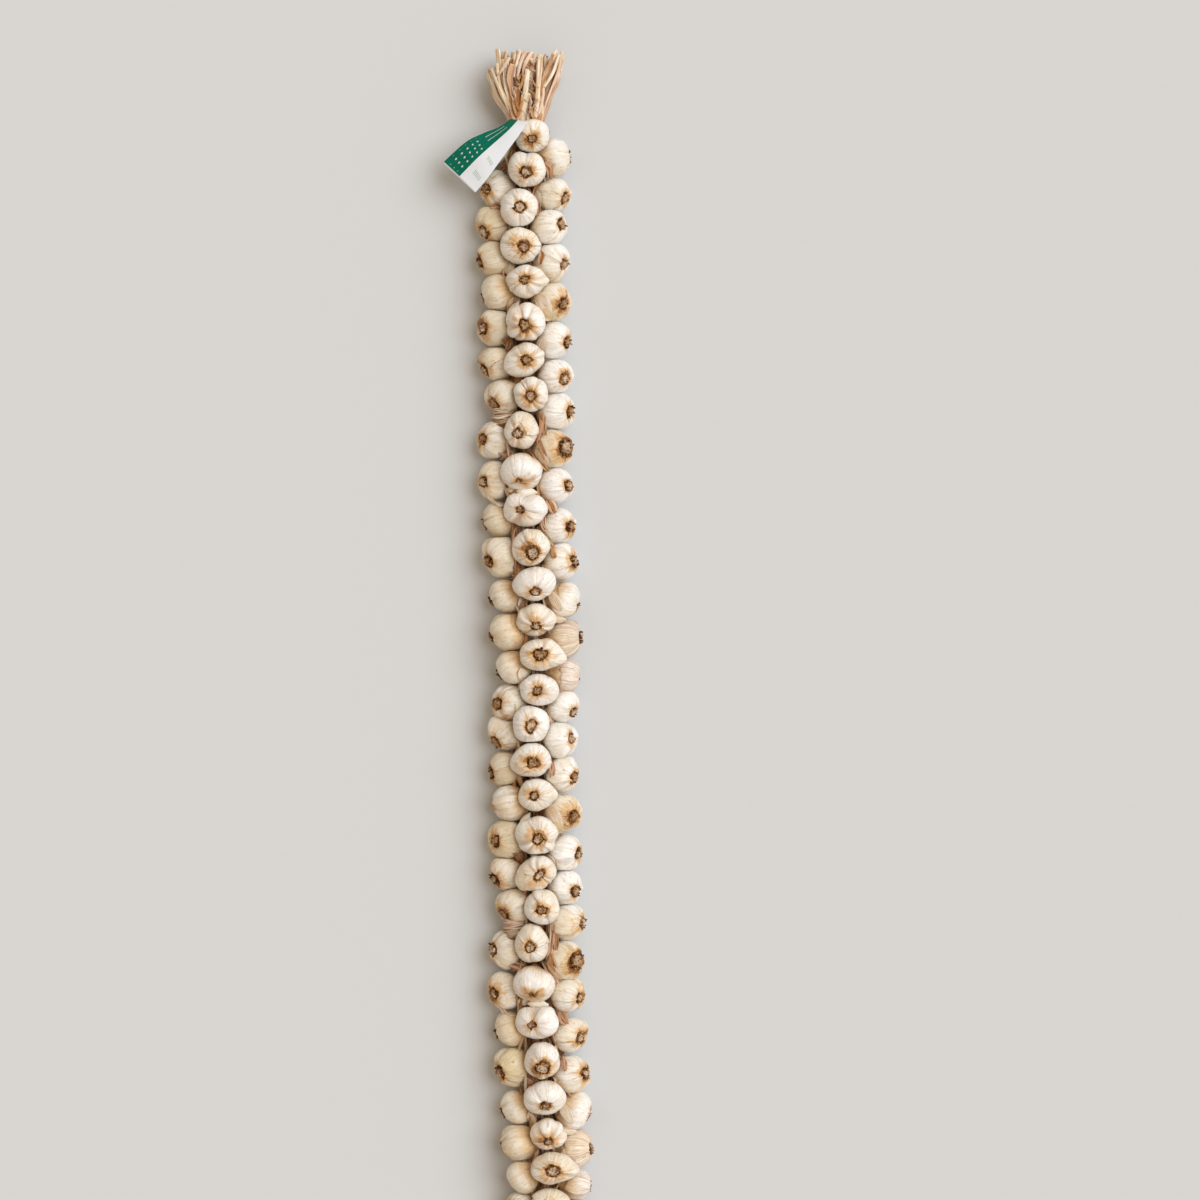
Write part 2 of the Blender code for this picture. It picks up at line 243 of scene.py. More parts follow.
class Shape:
    """Collects grids of points into one mesh, with the values that the materials read at each point."""

    def __init__(self):
        self.points = []
        self.marks = []
        self.looks = []
        self.faces = []
        self.slots = []
        self.total = 0

    def add_points(self, points, mark, look):
        """Keep a grid of points with its marks and looks, and return the grid of their numbers."""
        count = points.shape[0] * points.shape[1]
        self.points.append(points.reshape(-1, 3))
        self.marks.append(np.broadcast_to(mark, points.shape[:2] + (3,)).reshape(-1, 3))
        self.looks.append(np.broadcast_to(look, points.shape[:2] + (4,)).reshape(-1, 4))
        index = self.total + np.arange(count).reshape(points.shape[:2])
        self.total += count
        return index

    def add_quads(self, one, two, slot):
        """A strip of quads between each row of one grid of numbers and the same row of the next."""
        quads = np.stack((one[..., :-1], one[..., 1:], two[..., 1:], two[..., :-1]), axis=-1)
        self.faces.extend(quads.reshape(-1, 4).tolist())
        self.slots.extend(np.broadcast_to(np.reshape(slot, (-1, 1)), quads.shape[:-1]).reshape(-1).tolist())

    def reverse_faces(self, first):
        """Make the faces look the other way, from this one on."""
        self.faces[first:] = [face[::-1] for face in self.faces[first:]]

    def add_tube(self, points, mark, look, slot=0):
        """A closed solid through rings of points, with a flat face over its first and last ring."""
        start = len(self.faces)
        index = self.add_points(points, mark, look)
        index = np.concatenate((index, index[:, :1]), axis=1)
        self.add_quads(index[:-1], index[1:], slot)
        self.faces.append(index[0, :0:-1].tolist())
        self.faces.append(index[-1, 1:].tolist())
        self.slots.extend((int(np.ravel(slot)[0]), int(np.ravel(slot)[-1])))
        if enclosed(points) < 0:
            self.reverse_faces(start)

    def add_sheet(self, points, thickness, mark, look):
        """A thin closed sheet: the grid of points on one side, and the same moved by the thickness."""
        start = len(self.faces)
        outer = self.add_points(points, mark, look)
        inner = self.add_points(points - grid_normals(points) * thickness, mark, look)
        self.add_quads(outer[:-1], outer[1:], 0)
        self.add_quads(inner[1:], inner[:-1], 0)
        self.add_quads(inner[:1], outer[:1], 0)
        self.add_quads(outer[:-2:-1], inner[:-2:-1], 0)
        self.add_quads(outer.T[:1], inner.T[:1], 0)
        self.add_quads(inner.T[:-2:-1], outer.T[:-2:-1], 0)
        if thickness > 0:
            self.reverse_faces(start)

    def build(self, name, materials, slot, *nodes):
        """A piece in the frame's own place, with the CAD nodes it stands for; its slot is not used."""
        mesh = bpy.data.meshes.new(name)
        points = np.concatenate(self.points) + np.array(SHIFT)
        points[:, 2] = np.maximum(points[:, 2], 0.0)
        mesh.from_pydata(points.tolist(), [], self.faces)
        for material in materials:
            mesh.materials.append(material)
        mesh.polygons.foreach_set("material_index", self.slots)
        mark = mesh.attributes.new("mark", "FLOAT_VECTOR", "POINT")
        mark.data.foreach_set("vector", np.concatenate(self.marks).astype(np.float32).ravel())
        look = mesh.attributes.new("look", "FLOAT_COLOR", "POINT")
        look.data.foreach_set("color", np.concatenate(self.looks).astype(np.float32).ravel())
        mesh.shade_smooth()
        mesh.update()
        piece = bpy.data.objects.new(name, mesh)
        bpy.context.scene.collection.objects.link(piece)
        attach(piece, "root")
        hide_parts(*nodes)


def unit(vectors):
    """The vectors at length 1."""
    return vectors / np.maximum(np.linalg.norm(vectors, axis=-1, keepdims=True), 1e-9)


def grid_normals(points):
    """The direction square to a grid of points at each of them."""
    return unit(np.cross(np.gradient(points, axis=0), np.gradient(points, axis=1)))


def grid_of(x, y, z):
    """One grid of points from three values that are each spread over all of it."""
    return np.stack(np.broadcast_arrays(x, y, z), axis=-1)


def angles_round(count):
    """This many angles, evenly spaced round a circle."""
    return np.linspace(0, math.tau, count, endpoint=False)


def spline(controls, steps):
    """A smooth curve through the controls, as this many rows of points, ends included."""
    controls = np.asarray(controls, float)
    ends = np.vstack((2 * controls[0] - controls[1], controls, 2 * controls[-1] - controls[-2]))
    at = np.linspace(0, len(controls) - 1, steps)
    span = np.minimum(at.astype(int), len(controls) - 2)
    t = (at - span)[:, None]
    a, b, c, d = (ends[span + k] for k in range(4))
    return 0.5 * (2 * b + (c - a) * t + (2 * a - 5 * b + 4 * c - d) * t**2 + (3 * b - a - 3 * c + d) * t**3)


def smoothstep(low, high, value):
    """0 up to the low value, 1 from the high one on, and a smooth rise between them."""
    t = np.clip((value - low) / (high - low), 0, 1)
    return t * t * (3 - 2 * t)


def waves(rng, count, lowest, highest):
    """Random directions, pitches and starts for a sum of waves in space."""
    direction = unit(rng.normal(size=(count, 3)))
    return direction * rng.uniform(lowest, highest, (count, 1)), rng.uniform(0, math.tau, count)


def unevenness(points, wave):
    """A smooth random value from about -1 to 1 at each point."""
    pitch, start = wave
    return np.sin(points @ pitch.T + start).sum(axis=-1) / math.sqrt(len(start)) / 1.2


def sweep_frames(path, upward=(0.0, 0.35, 1.0)):
    """A sideways and an upward direction at each point of a path."""
    along = unit(np.gradient(path, axis=0))
    side = unit(np.cross(along, upward))
    return side, np.cross(side, along)


# ---- materials


class Nodes:
    """A material's node tree, written as a few short calls."""

    def __init__(self, name, roughness, specular=0.5):
        self.material = bpy.data.materials.new(name)
        self.material.use_nodes = True
        self.tree = self.material.node_tree
        self.shader = self.tree.nodes["Principled BSDF"]
        self.shader.inputs["Roughness"].default_value = roughness
        self.shader.inputs["Specular IOR Level"].default_value = specular
        self.colour = None

    def node(self, kind, inputs=(), **settings):
        """The outputs of a new node of this kind, with its settings and its inputs set or linked."""
        node = self.tree.nodes.new("ShaderNode" + kind)
        for key, value in settings.items():
            setattr(node, key, value)
        for key, value in dict(inputs).items():
            self.feed(node.inputs[key], value)
        return node.outputs

    def feed(self, socket, value):
        """Link a node's output to an input, or set the input to a plain value."""
        if isinstance(value, bpy.types.NodeSocket):
            self.tree.links.new(value, socket)
        elif isinstance(value, tuple) and socket.type == "RGBA":
            socket.default_value = (*value, 1.0)
        else:
            socket.default_value = value

    def math(self, operation, a, b=0.0):
        return self.node("Math", {0: a, 1: b}, operation=operation)[0]

    def times(self, a, b):
        return self.math("MULTIPLY", a, b)

    def off(self, value, middle):
        """How far a value is from the middle one."""
        return self.math("ABSOLUTE", self.math("SUBTRACT", value, middle))

    def sum(self, *parts):
        """The sum of values, each alone or as a (value, weight) pair."""
        total = 0.0
        for part in parts:
            value, weight = part if isinstance(part, tuple) else (part, 1.0)
            total = self.node("Math", {0: value, 1: weight, 2: total}, operation="MULTIPLY_ADD")[0]
        return total

    def attribute(self, name):
        """A mesh attribute as a vector, and its fourth value."""
        outputs = self.node("Attribute", attribute_name=name)
        return outputs["Vector"], outputs["Alpha"]

    def split(self, vector):
        """The x, y and z of a vector."""
        return tuple(self.node("SeparateXYZ", {0: vector}))

    def join(self, x, y, z):
        return self.node("CombineXYZ", {0: x, 1: y, 2: z})[0]

    def vector(self, operation, *inputs):
        """The outputs of vector maths: the vector, then the value."""
        return self.node("VectorMath", dict(enumerate(inputs)), operation=operation)

    def noise(self, vector, scale, offset=None, detail=3.0, roughness=0.6, distortion=0.0):
        """Noise at its own scale for each axis, moved by an offset value along all of them."""
        place = self.vector("MULTIPLY", vector, scale)[0]
        if offset is not None:
            place = self.vector("ADD", place, offset)[0]
        inputs = {"Vector": place, "Scale": 1.0, "Detail": detail}
        inputs |= {"Roughness": roughness, "Distortion": distortion}
        return self.node("TexNoise", inputs)[0]

    def ramp(self, value, low, high, start=0.0, end=1.0):
        """A smooth step of the value from low to high, as start to end."""
        inputs = {"Value": value, "From Min": low, "From Max": high, "To Min": start, "To Max": end}
        return self.node("MapRange", inputs, interpolation_type="SMOOTHSTEP")[0]

    def mix(self, share, one, other):
        """One colour up to a share of 0, the other from a share of 1."""
        node = self.tree.nodes.new("ShaderNodeMix")
        node.data_type = "RGBA"
        for key, value in (("Factor_Float", share), ("A_Color", one), ("B_Color", other)):
            self.feed(next(s for s in node.inputs if s.identifier == key), value)
        return next(s for s in node.outputs if s.identifier == "Result_Color")

    def coat(self, share, tint):
        """Lay a tint over the colour so far, by this share."""
        self.colour = self.mix(share, self.colour, tint)

    def finish(self, height=None, strength=0.5, depth=0.001, roughness=None):
        """Set the colour, the bump and the roughness, and return the material."""
        self.feed(self.shader.inputs["Base Color"], self.colour)
        if height is not None:
            bump = self.node("Bump", {"Height": height, "Strength": strength, "Distance": depth})[0]
            self.feed(self.shader.inputs["Normal"], bump)
        if roughness is not None:
            self.feed(self.shader.inputs["Roughness"], roughness)
        return self.material


CLEAN_SKIN = (0.95, 0.945, 0.928)
DULL_SKIN = (0.90, 0.825, 0.675)
WARM_SKIN = (0.80, 0.66, 0.39)
BLUSH = (0.82, 0.68, 0.62)
LINE_TAN = (0.73, 0.52, 0.285)
HAIR_TAN = (0.75, 0.55, 0.32)
VEIN_BROWN = (0.54, 0.32, 0.135)
STRIPE_BROWN = (0.62, 0.40, 0.29)
GROOVE_TAN_SHADE_AND_GLOW = (0.60, 0.34, 0.125)
SHOULDER_TAN_AND_SHADE = (0.68, 0.42, 0.165)
SHOULDER_BROWN_AND_SHADE = (0.44, 0.20, 0.055)
STREAK_TAN = (0.72, 0.41, 0.135)
STREAK_BROWN = (0.25, 0.092, 0.020)
SPECK_BROWN = (0.30, 0.15, 0.06)


def garlic_skin():
    """Papery white skin: fine lines from root plate to neck, tan stains at both ends, dull patches, and
    painted shade in the grooves and toward the neck.

    mark is the place on a bulb of radius 1, with z from the root plate's 0.8 down to the neck;
    look is (seed, warmth, stain, depth in a groove between cloves).
    """
    nodes = Nodes("garlic_skin", 0.36)
    mark, _ = nodes.attribute("mark")
    look, crease = nodes.attribute("look")
    seed, warmth, stain = nodes.split(look)
    x, y, up = nodes.split(mark)
    flat = nodes.join(x, y, 0.0)
    out = nodes.vector("LENGTH", flat)[1]
    line_x, line_y, _ = nodes.split(nodes.vector("NORMALIZE", flat)[0])
    meridian = nodes.join(line_x, line_y, up)
    offset = nodes.times(seed, 57.0)
    lines = nodes.noise(meridian, (9.0, 9.0, 1.1), offset, 4.0, 0.62)
    hairs = nodes.noise(meridian, (42.0, 42.0, 2.6), offset)
    strands = nodes.noise(meridian, (13.0, 13.0, 0.9), offset, 2.0, 0.5)
    stripes = nodes.noise(meridian, (24.0, 24.0, 0.7), offset, 2.0, 0.5)
    ridges = nodes.noise(meridian, (4.5, 4.5, 0.7), offset, 2.0, 0.5)
    patches = nodes.noise(mark, (1.3, 1.3, 1.3), offset, 3.0, 0.55)
    blotches = nodes.noise(mark, (2.9, 2.9, 2.9), offset, 4.0, 0.62, 0.6)
    specks = nodes.noise(mark, (8.0, 8.0, 8.0), offset, 2.0)

    nodes.colour = CLEAN_SKIN
    # the warmth tints the skin and brings out its dull patches; on the left column much of it is painted
    # shade, for the side turned away from the light
    nodes.coat(nodes.times(nodes.ramp(patches, 0.42, 0.66), nodes.ramp(warmth, -0.1, 0.3, 0.2)), DULL_SKIN)
    nodes.coat(warmth, WARM_SKIN)
    nodes.coat(nodes.ramp(nodes.sum((blotches, -0.6), (patches, 1.0)), 0.22, 0.36, 0.0, 0.28), BLUSH)
    # lines gather round the root plate and fade toward the widest point
    gathered = nodes.ramp(out, 0.35, 0.95, 1.0, 0.45)
    nodes.coat(nodes.times(nodes.ramp(lines, 0.52, 0.72, 0.0, 0.6), gathered), LINE_TAN)
    nodes.coat(nodes.times(nodes.ramp(hairs, 0.58, 0.80, 0.0, 0.3), gathered), HAIR_TAN)
    # thin veins, where the two sides of a stretched noise meet
    vein = nodes.ramp(nodes.off(strands, 0.5), 0.0, 0.022, 1.0, 0.0)
    nodes.coat(nodes.times(vein, nodes.ramp(blotches, 0.38, 0.58, 0.15, 0.75)), VEIN_BROWN)
    # close stripes on the few bulbs whose stain is below 0
    striped = nodes.ramp(stain, -0.9, -0.1, 0.7, 0.0)
    nodes.coat(nodes.times(nodes.ramp(stripes, 0.46, 0.56), striped), STRIPE_BROWN)
    # tan in the grooves between the cloves and on the shoulder, partly the bare skin that the outer skin
    # leaves and partly painted shade where the bulb turns in and lies deep; in the grooves it is also a
    # painted warm glow, as of light through the thin skin
    nodes.coat(nodes.times(crease, 0.6), GROOVE_TAN_SHADE_AND_GLOW)
    shoulder = nodes.sum((up, -1.0), (blotches, 0.5), (lines, 0.3))
    nodes.coat(nodes.ramp(shoulder, 0.40, 1.10, 0.0, 0.8), SHOULDER_TAN_AND_SHADE)
    nodes.coat(nodes.ramp(shoulder, 1.15, 1.75, 0.0, 0.8), SHOULDER_BROWN_AND_SHADE)
    # orange-tan streaks run out from the root plate, more on some sides than on others
    reach = nodes.sum((lines, 0.6), (patches, 1.1), (blotches, 0.9), (stain, 0.30), (out, -1.3))
    front = nodes.ramp(up, -0.1, 0.3)
    nodes.coat(nodes.times(nodes.ramp(reach, 0.58, 0.98, 0.0, 0.85), front), STREAK_TAN)
    nodes.coat(nodes.times(nodes.ramp(reach, 0.97, 1.14, 0.0, 0.9), front), STREAK_BROWN)
    spot = nodes.sum((specks, 0.6), (blotches, 0.5), (stain, 0.05))
    nodes.coat(nodes.ramp(spot, 0.74, 0.82, 0.0, 0.8), SPECK_BROWN)

    height = nodes.sum((ridges, 1.0), (lines, 0.30), (hairs, 0.08), (blotches, 0.45), (vein, 0.12))
    roughness = nodes.ramp(blotches, 0.35, 0.65, 0.27, 0.44)
    return nodes.finish(height, 0.7, 0.0024, roughness)


DARK_STUB = (0.15, 0.056, 0.016)
MID_STUB = (0.48, 0.31, 0.18)
PALE_STUB = (0.70, 0.55, 0.40)
DARK_RING = (0.068, 0.022, 0.005)
ROOT_ENDS = (0.50, 0.25, 0.085)


def root_plate():
    """The dried root plate: a worn grey-tan stub in a ring of dark brown, with paler root ends.

    mark and look are as on the skin.
    """
    nodes = Nodes("root_plate", 0.9, 0.06)
    mark, _ = nodes.attribute("mark")
    look, _ = nodes.attribute("look")
    seed, _, _ = nodes.split(look)
    x, y, _ = nodes.split(mark)
    out = nodes.vector("LENGTH", nodes.join(x, y, 0.0))[1]
    offset = nodes.times(seed, 31.0)
    grain = nodes.noise(mark, (9.0, 9.0, 9.0), offset, 5.0, 0.7)
    fine = nodes.noise(mark, (40.0, 40.0, 40.0), offset, 3.0, 0.7)
    # some stubs are pale and some nearly as dark as the ring
    pale = nodes.mix(nodes.ramp(seed, 0.2, 0.7), MID_STUB, PALE_STUB)
    nodes.colour = nodes.mix(nodes.ramp(grain, 0.36, 0.56), DARK_STUB, pale)
    ring = nodes.mix(nodes.ramp(grain, 0.46, 0.64), DARK_RING, ROOT_ENDS)
    nodes.coat(nodes.ramp(nodes.sum(out, (grain, 0.22)), 0.29, 0.37), ring)
    return nodes.finish(nodes.sum((grain, 0.6), (fine, 0.4)), 0.9, 0.0015)


CREAM_STRAW = (0.97, 0.89, 0.74)
TAN_STRAW = (0.84, 0.60, 0.37)
ORANGE_STRAW = (0.80, 0.52, 0.28)
BROWN_STRAW = (0.44, 0.19, 0.058)
PINK_STRAW = (0.76, 0.49, 0.40)
FIBRE_BROWN = (0.32, 0.140, 0.052)
CUT_END = (0.86, 0.72, 0.50)
DEEP_SHADE = (0.12, 0.040, 0.011)


def dry_straw():
    """Dried stems and leaves: long fibres from cream to orange-brown, with painted shade where they lie
    deep.

    mark is (place across, place along, distance round), in metres; look is (seed, warmth, painted shade, cut
    end).
    """
    nodes = Nodes("dry_straw", 0.6, 0.2)
    mark, _ = nodes.attribute("mark")
    look, cut = nodes.attribute("look")
    seed, warmth, shade = nodes.split(look)
    offset = nodes.times(seed, 43.0)
    fibres = nodes.noise(mark, (900.0, 22.0, 900.0), offset, 4.0)
    bands = nodes.noise(mark, (180.0, 26.0, 180.0), offset)
    patches = nodes.noise(mark, (60.0, 34.0, 60.0), offset)
    pale = nodes.mix(nodes.ramp(bands, 0.40, 0.66), CREAM_STRAW, TAN_STRAW)
    deep = nodes.mix(nodes.ramp(bands, 0.36, 0.62), ORANGE_STRAW, BROWN_STRAW)
    nodes.colour = nodes.mix(nodes.ramp(nodes.sum(warmth, (patches, 0.9)), 0.46, 1.15), pale, deep)
    # about a third of the stems are pinkish
    nodes.coat(nodes.ramp(seed, 0.66, 0.68, 0.0, 0.40), PINK_STRAW)
    nodes.coat(nodes.ramp(fibres, 0.48, 0.68, 0.0, 0.75), FIBRE_BROWN)
    nodes.coat(cut, CUT_END)
    # painted shade, darker the deeper a stem lies
    nodes.coat(shade, DEEP_SHADE)
    return nodes.finish(nodes.sum((fibres, 0.6), (bands, 0.4)), 0.7, 0.0008)


SKIN = garlic_skin()
ROOT = root_plate()
STRAW = dry_straw()

# ---- bulbs

# A real bulb's radius against its CAD body, which keeps a gap to its neighbours.
FULLNESS = {"left": 1.12, "centre": 1.035, "right": 1.10}
# The left column's higher warmth is painted shade: its bulbs face away from the light, so their skin is
# tinted darker and warmer.
WARMTH_AND_SHADE = {"left": (0.37, 0.13), "centre": (0.06, 0.07), "right": (0.04, 0.07)}  # mean and spread
# The left column's extra stain is partly real stain and partly painted shade on the side turned away from
# the light.
MORE_STAIN_AND_SHADE = {"left": 0.35, "centre": 0.0, "right": 0.0}
PLATE_SIZE = {"left": 0.89, "centre": 0.84, "right": 0.86}
BULB_RINGS = 36
BULB_SIDES = 64
CONTACT_GAP = 0.0002
CONTACT_SOFTNESS = 0.0014
# From the middle of the root plate to the neck: distance out along the axis, and width.
BULB_PROFILE = (
    (0.800, 0.03),
    (0.805, 0.12),
    (0.795, 0.20),
    (0.735, 0.240),
    (0.680, 0.280),
    (0.675, 0.340),
    (0.712, 0.400),
    (0.722, 0.480),
    (0.665, 0.610),
    (0.520, 0.775),
    (0.290, 0.93),
    (0.000, 1.00),
    (-0.33, 0.94),
    (-0.64, 0.73),
    (-0.90, 0.46),
    (-1.10, 0.29),
)
PLATE_EDGE = 0.325  # the width where the root plate's dark ring gives way to skin
NECK_RINGS = 10
NECK_RADIUS = 0.0050
NECK_END_RADIUS = 0.0036
NECK_PLEATS = 7
PLEAT_DEPTH = 0.16
NECK_SHARE = np.arange(1, NECK_RINGS + 1)[:, None] / NECK_RINGS
ROOTLET_TAPER = (1.0, 0.9, 0.6)
FIRST_BULB_SEED = 1000
NECK_LENGTH = 1.4  # how far the mark runs on along the neck, in radii
NECK_TURN_IN = 0.25  # how far the neck runs straight in from the shoulder, in radii
NECK_RUN_ON = (0.0, 0.014, -0.004)  # and how far on from the knot
# Parts of a bulb's radius: the grooves between cloves, broad and fine lumps, the root plate's rough face
# and its torn edge.
GROOVE_DEPTH = 0.105
BROAD_LUMPS = 0.058
FINE_LUMPS = 0.014
ROUGH_PLATE = 0.035
TORN_EDGE = 0.24
# Bulbs that differ from what chance would make of them, by column and row, counted from 1. Rows that come
# again share them. A horn is a lobe that stands out, or a dent below 0: how far, toward which side in
# degrees (0 is left and 90 up, on a bulb that faces the front), and how wide.
SPECIAL = {
    "left": {
        2: dict(stain=0.9),
        3: dict(plate=1.25, rootlets=8, horns=((0.08, 60, 0.5),)),
        4: dict(stain=0.9, warmth=0.5),
        5: dict(horns=((0.12, -20, 0.5),)),
        8: dict(stain=0.9, plate=1.1, rootlets=6),
        13: dict(horns=((0.10, -40, 0.5),)),
        15: dict(warmth=0.25),
        16: dict(warmth=0.15),
    },
    "centre": {
        1: dict(stain=0.8, plate=0.9),
        2: dict(stain=0.7, plate=1.15, rootlets=22, horns=((-0.14, 92, 0.22), (0.06, 60, 0.3))),
        3: dict(stain=0.2, plate=1.12),
        4: dict(stain=1.1, plate=1.0),
        5: dict(stain=0.3, plate=0.85, cloves=8, horns=((0.19, 180, 0.34), (-0.05, 245, 0.3))),
        6: dict(stain=0.5, plate=1.0, depth=1.6, cloves=7, full=1.07),
        7: dict(
            stain=0.6, plate=1.0, depth=1.3, horns=((0.16, -35, 0.45), (-0.13, 45, 0.5), (-0.12, 222, 0.5))
        ),
        8: dict(stain=0.6, plate=1.05),
        9: dict(stain=0.3, plate=1.0),
        10: dict(stain=0.9, plate=0.32, rootlets=0, depth=0.3, full=1.05, horns=((0.20, 250, 0.5),)),
        11: dict(
            stain=0.1,
            plate=0.75,
            cloves=4,
            depth=1.5,
            horns=((-0.20, 92, 0.3), (0.10, 50, 0.35), (0.10, 135, 0.35)),
        ),
        12: dict(stain=1.1, plate=1.35, rootlets=44, depth=1.1),
        13: dict(stain=0.1, plate=0.9, depth=0.4),
        14: dict(stain=0.8, plate=0.85, cloves=6, depth=2.1),
        15: dict(stain=0.7, plate=1.2, horns=((0.18, 192, 0.4), (-0.06, 240, 0.3))),
        16: dict(stain=0.35, plate=0.95),
    },
    "right": {
        5: dict(stain=1.3, warmth=0.35, rootlets=34, peeled=True),
        9: dict(stain=1.3, warmth=0.25, rootlets=50, plate=1.45, peeled=True),
        14: dict(stain=-1.0, warmth=0.3, peeled=True),
        15: dict(stain=-1.0, warmth=0.1, peeled=True),
    },
}


class Character:
    """What sets one bulb apart from the next: its cloves, its lean and lumps, and its stains."""

    def __init__(self, bulb, rng):
        centre = bulb.column == "centre"
        row = bulb.row if bulb.row < len(CENTRE_BULBS) else bulb.row - ROWS_AGAIN
        special = SPECIAL[bulb.column].get(row + 1, {}) if bulb.row < ROWS - 1 else {}
        self.cloves = special.get("cloves", int(rng.integers(5, 9)))
        self.bulges = rng.uniform(-0.05, 0.07, self.cloves)
        depth = rng.choice((0.4, 0.8, 1.3), p=(0.35, 0.4, 0.25)) * (1.0 if centre else 0.8)
        self.grooves = special.get("depth", depth) * rng.uniform(0.1, 1.4, self.cloves)
        self.roundness = rng.uniform(1.7, 2.8)
        self.tall = rng.uniform(0.95, 1.04)
        self.across = bulb.spread * rng.uniform(0.98, 1.02)
        self.skew = rng.normal(0, 0.04, 2)
        self.plate = rng.uniform(0.85, 1.15)
        self.plate_shift = rng.normal(0, 0.04, 2)
        self.twist = rng.uniform(-0.35, 0.35)
        self.hollow = rng.uniform(-0.10, 0.05) if centre else rng.uniform(0.0, 0.08)
        self.rootlets = int(rng.integers(14, 28))
        self.peeled = rng.uniform() < 0.45
        self.full = 1.0
        self.horns = ()
        self.warmth = float(np.clip(rng.normal(*WARMTH_AND_SHADE[bulb.column]), 0, 0.7))
        self.stain = float(rng.uniform(0.0, 1.0)) + MORE_STAIN_AND_SHADE[bulb.column]
        self.seed = float(rng.uniform())
        vars(self).update(special)
        self.plate *= PLATE_SIZE[bulb.column]


def clove_crest(angle, edges, roundness):
    """Each angle's clove, its nearest groove, and 1 on the clove's crest down to 0 in the grooves."""
    closed = np.append(edges, edges[0] + math.tau)
    turned = np.where(angle < edges[0], angle + math.tau, angle)
    which = np.clip(np.searchsorted(closed, turned, side="right") - 1, 0, len(edges) - 1)
    share = (turned - closed[which]) / (closed[which + 1] - closed[which])
    return which, (which + (share > 0.5)) % len(edges), 1 - np.abs(2 * share - 1) ** roundness


def press(points, bulb, others):
    """Flatten a bulb's surface where it would pass a neighbour's."""
    centre = np.array(bulb.centre)
    for other in others:
        apart = np.array(other.centre) - centre
        length = np.linalg.norm(apart)
        normal = apart / length
        reach = length * bulb.radius / (bulb.radius + other.radius) - CONTACT_GAP
        past = (points - centre) @ normal - reach
        past = (past + np.sqrt(past**2 + CONTACT_SOFTNESS**2)) / 2
        points = points - past[..., None] * normal
    return points


def bulb_axes(bulb):
    """The direction of the root plate, and the two across it."""
    axis = np.array(bulb.axis)
    across = unit(np.cross(axis, (0.0, 1.0, 0.0)))
    return axis, across, np.cross(across, axis)


def body_rings(nature, rng):
    """The bulb's rings from root plate to shoulder: the marks, how deep in a groove, and the points."""
    profile = spline(BULB_PROFILE, BULB_RINGS)
    out = profile[:, 0, None]
    width = profile[:, 1, None]
    angle = angles_round(BULB_SIDES)
    even = np.arange(nature.cloves) * math.tau / nature.cloves
    edges = np.sort((even + rng.uniform(-0.4, 0.4, nature.cloves)) % math.tau)
    turned = (angle + nature.twist * (1 - out)) % math.tau
    clove, groove, crest = clove_crest(turned, edges, nature.roundness)
    hollow = (1 - crest) * nature.grooves[groove]
    # the grooves are deepest round the root plate, and shallow from the widest point on
    depth = GROOVE_DEPTH * smoothstep(0.26, 0.42, width) * (1 - 0.55 * smoothstep(0.75, 0.1, out))
    share = 1 - depth * hollow + nature.bulges[clove] * crest * smoothstep(0.35, 0.8, width)
    crease = smoothstep(0.25, 1.0, hollow) * smoothstep(0.30, 0.45, width)
    crease = crease * (0.25 + 0.75 * smoothstep(0.1, 0.65, out))
    marks = grid_of(width * np.cos(angle), width * np.sin(angle), out)

    body = marks * share[..., None]
    body[..., 2] *= nature.tall
    wide = smoothstep(0.28, 0.6, width)
    lump = BROAD_LUMPS * unevenness(marks, waves(rng, 5, 1.3, 2.8))
    lump = lump + FINE_LUMPS * unevenness(marks, waves(rng, 7, 5.0, 9.0))
    body *= 1 + (wide * lump)[..., None]
    core = 1 - smoothstep(0.10, 0.24, width)
    rough = unevenness(marks, waves(rng, 9, 14.0, 30.0)) * (1 - smoothstep(0.30, 0.40, width))
    body[..., 2] += nature.hollow * core + ROUGH_PLATE * rough
    for amount, toward, spread in nature.horns:
        turn = (angle - math.radians(toward) + math.pi) % math.tau - math.pi
        horn = amount * np.exp(-((turn / spread) ** 2)) * smoothstep(0.4, 0.9, width)
        body[..., :2] *= 1 + (horn * smoothstep(-1.0, 0.0, out))[..., None]
    near_root = (1 - smoothstep(0.2, 0.75, width) * (out > 0) - (out <= 0))[..., None]
    torn = TORN_EDGE * unevenness(unit(marks * (1, 1, 0)), waves(rng, 6, 1.5, 8.0))
    body[..., :2] *= 1 + (nature.plate - 1 + torn[..., None]) * near_root
    body[..., :2] += nature.plate_shift * near_root
    body[..., :2] += nature.skew * (body[..., :2] * body[..., 1::-1])
    body[..., :2] *= (nature.across, 1 / nature.across)
    return marks, crease, body


PEEL_STEPS = 18
PEEL_THICKNESS = 0.0002
PEEL_GAP = 0.0004


def between(grid, row, column):
    """The grid's values at fractional rows and columns; its columns go round."""
    low = np.floor(row).astype(int)
    left = np.floor(column).astype(int)
    down = (row - low)[..., None]
    right = (column - left)[..., None]
    count = grid.shape[1]
    corner = [[grid[low + i, (left + j) % count] for j in (0, 1)] for i in (0, 1)]
    top = corner[0][0] * (1 - right) + corner[0][1] * right
    return top * (1 - down) + (corner[1][0] * (1 - right) + corner[1][1] * right) * down


def tear(rng, at, size):
    """An uneven edge: a few waves and a fine raggedness."""
    broad = np.sin(at * rng.uniform(4, 9) + rng.uniform(0, 6)) + 0.5 * np.sin(at * rng.uniform(14, 26))
    return size * (broad + rng.normal(0, 0.35, at.shape))


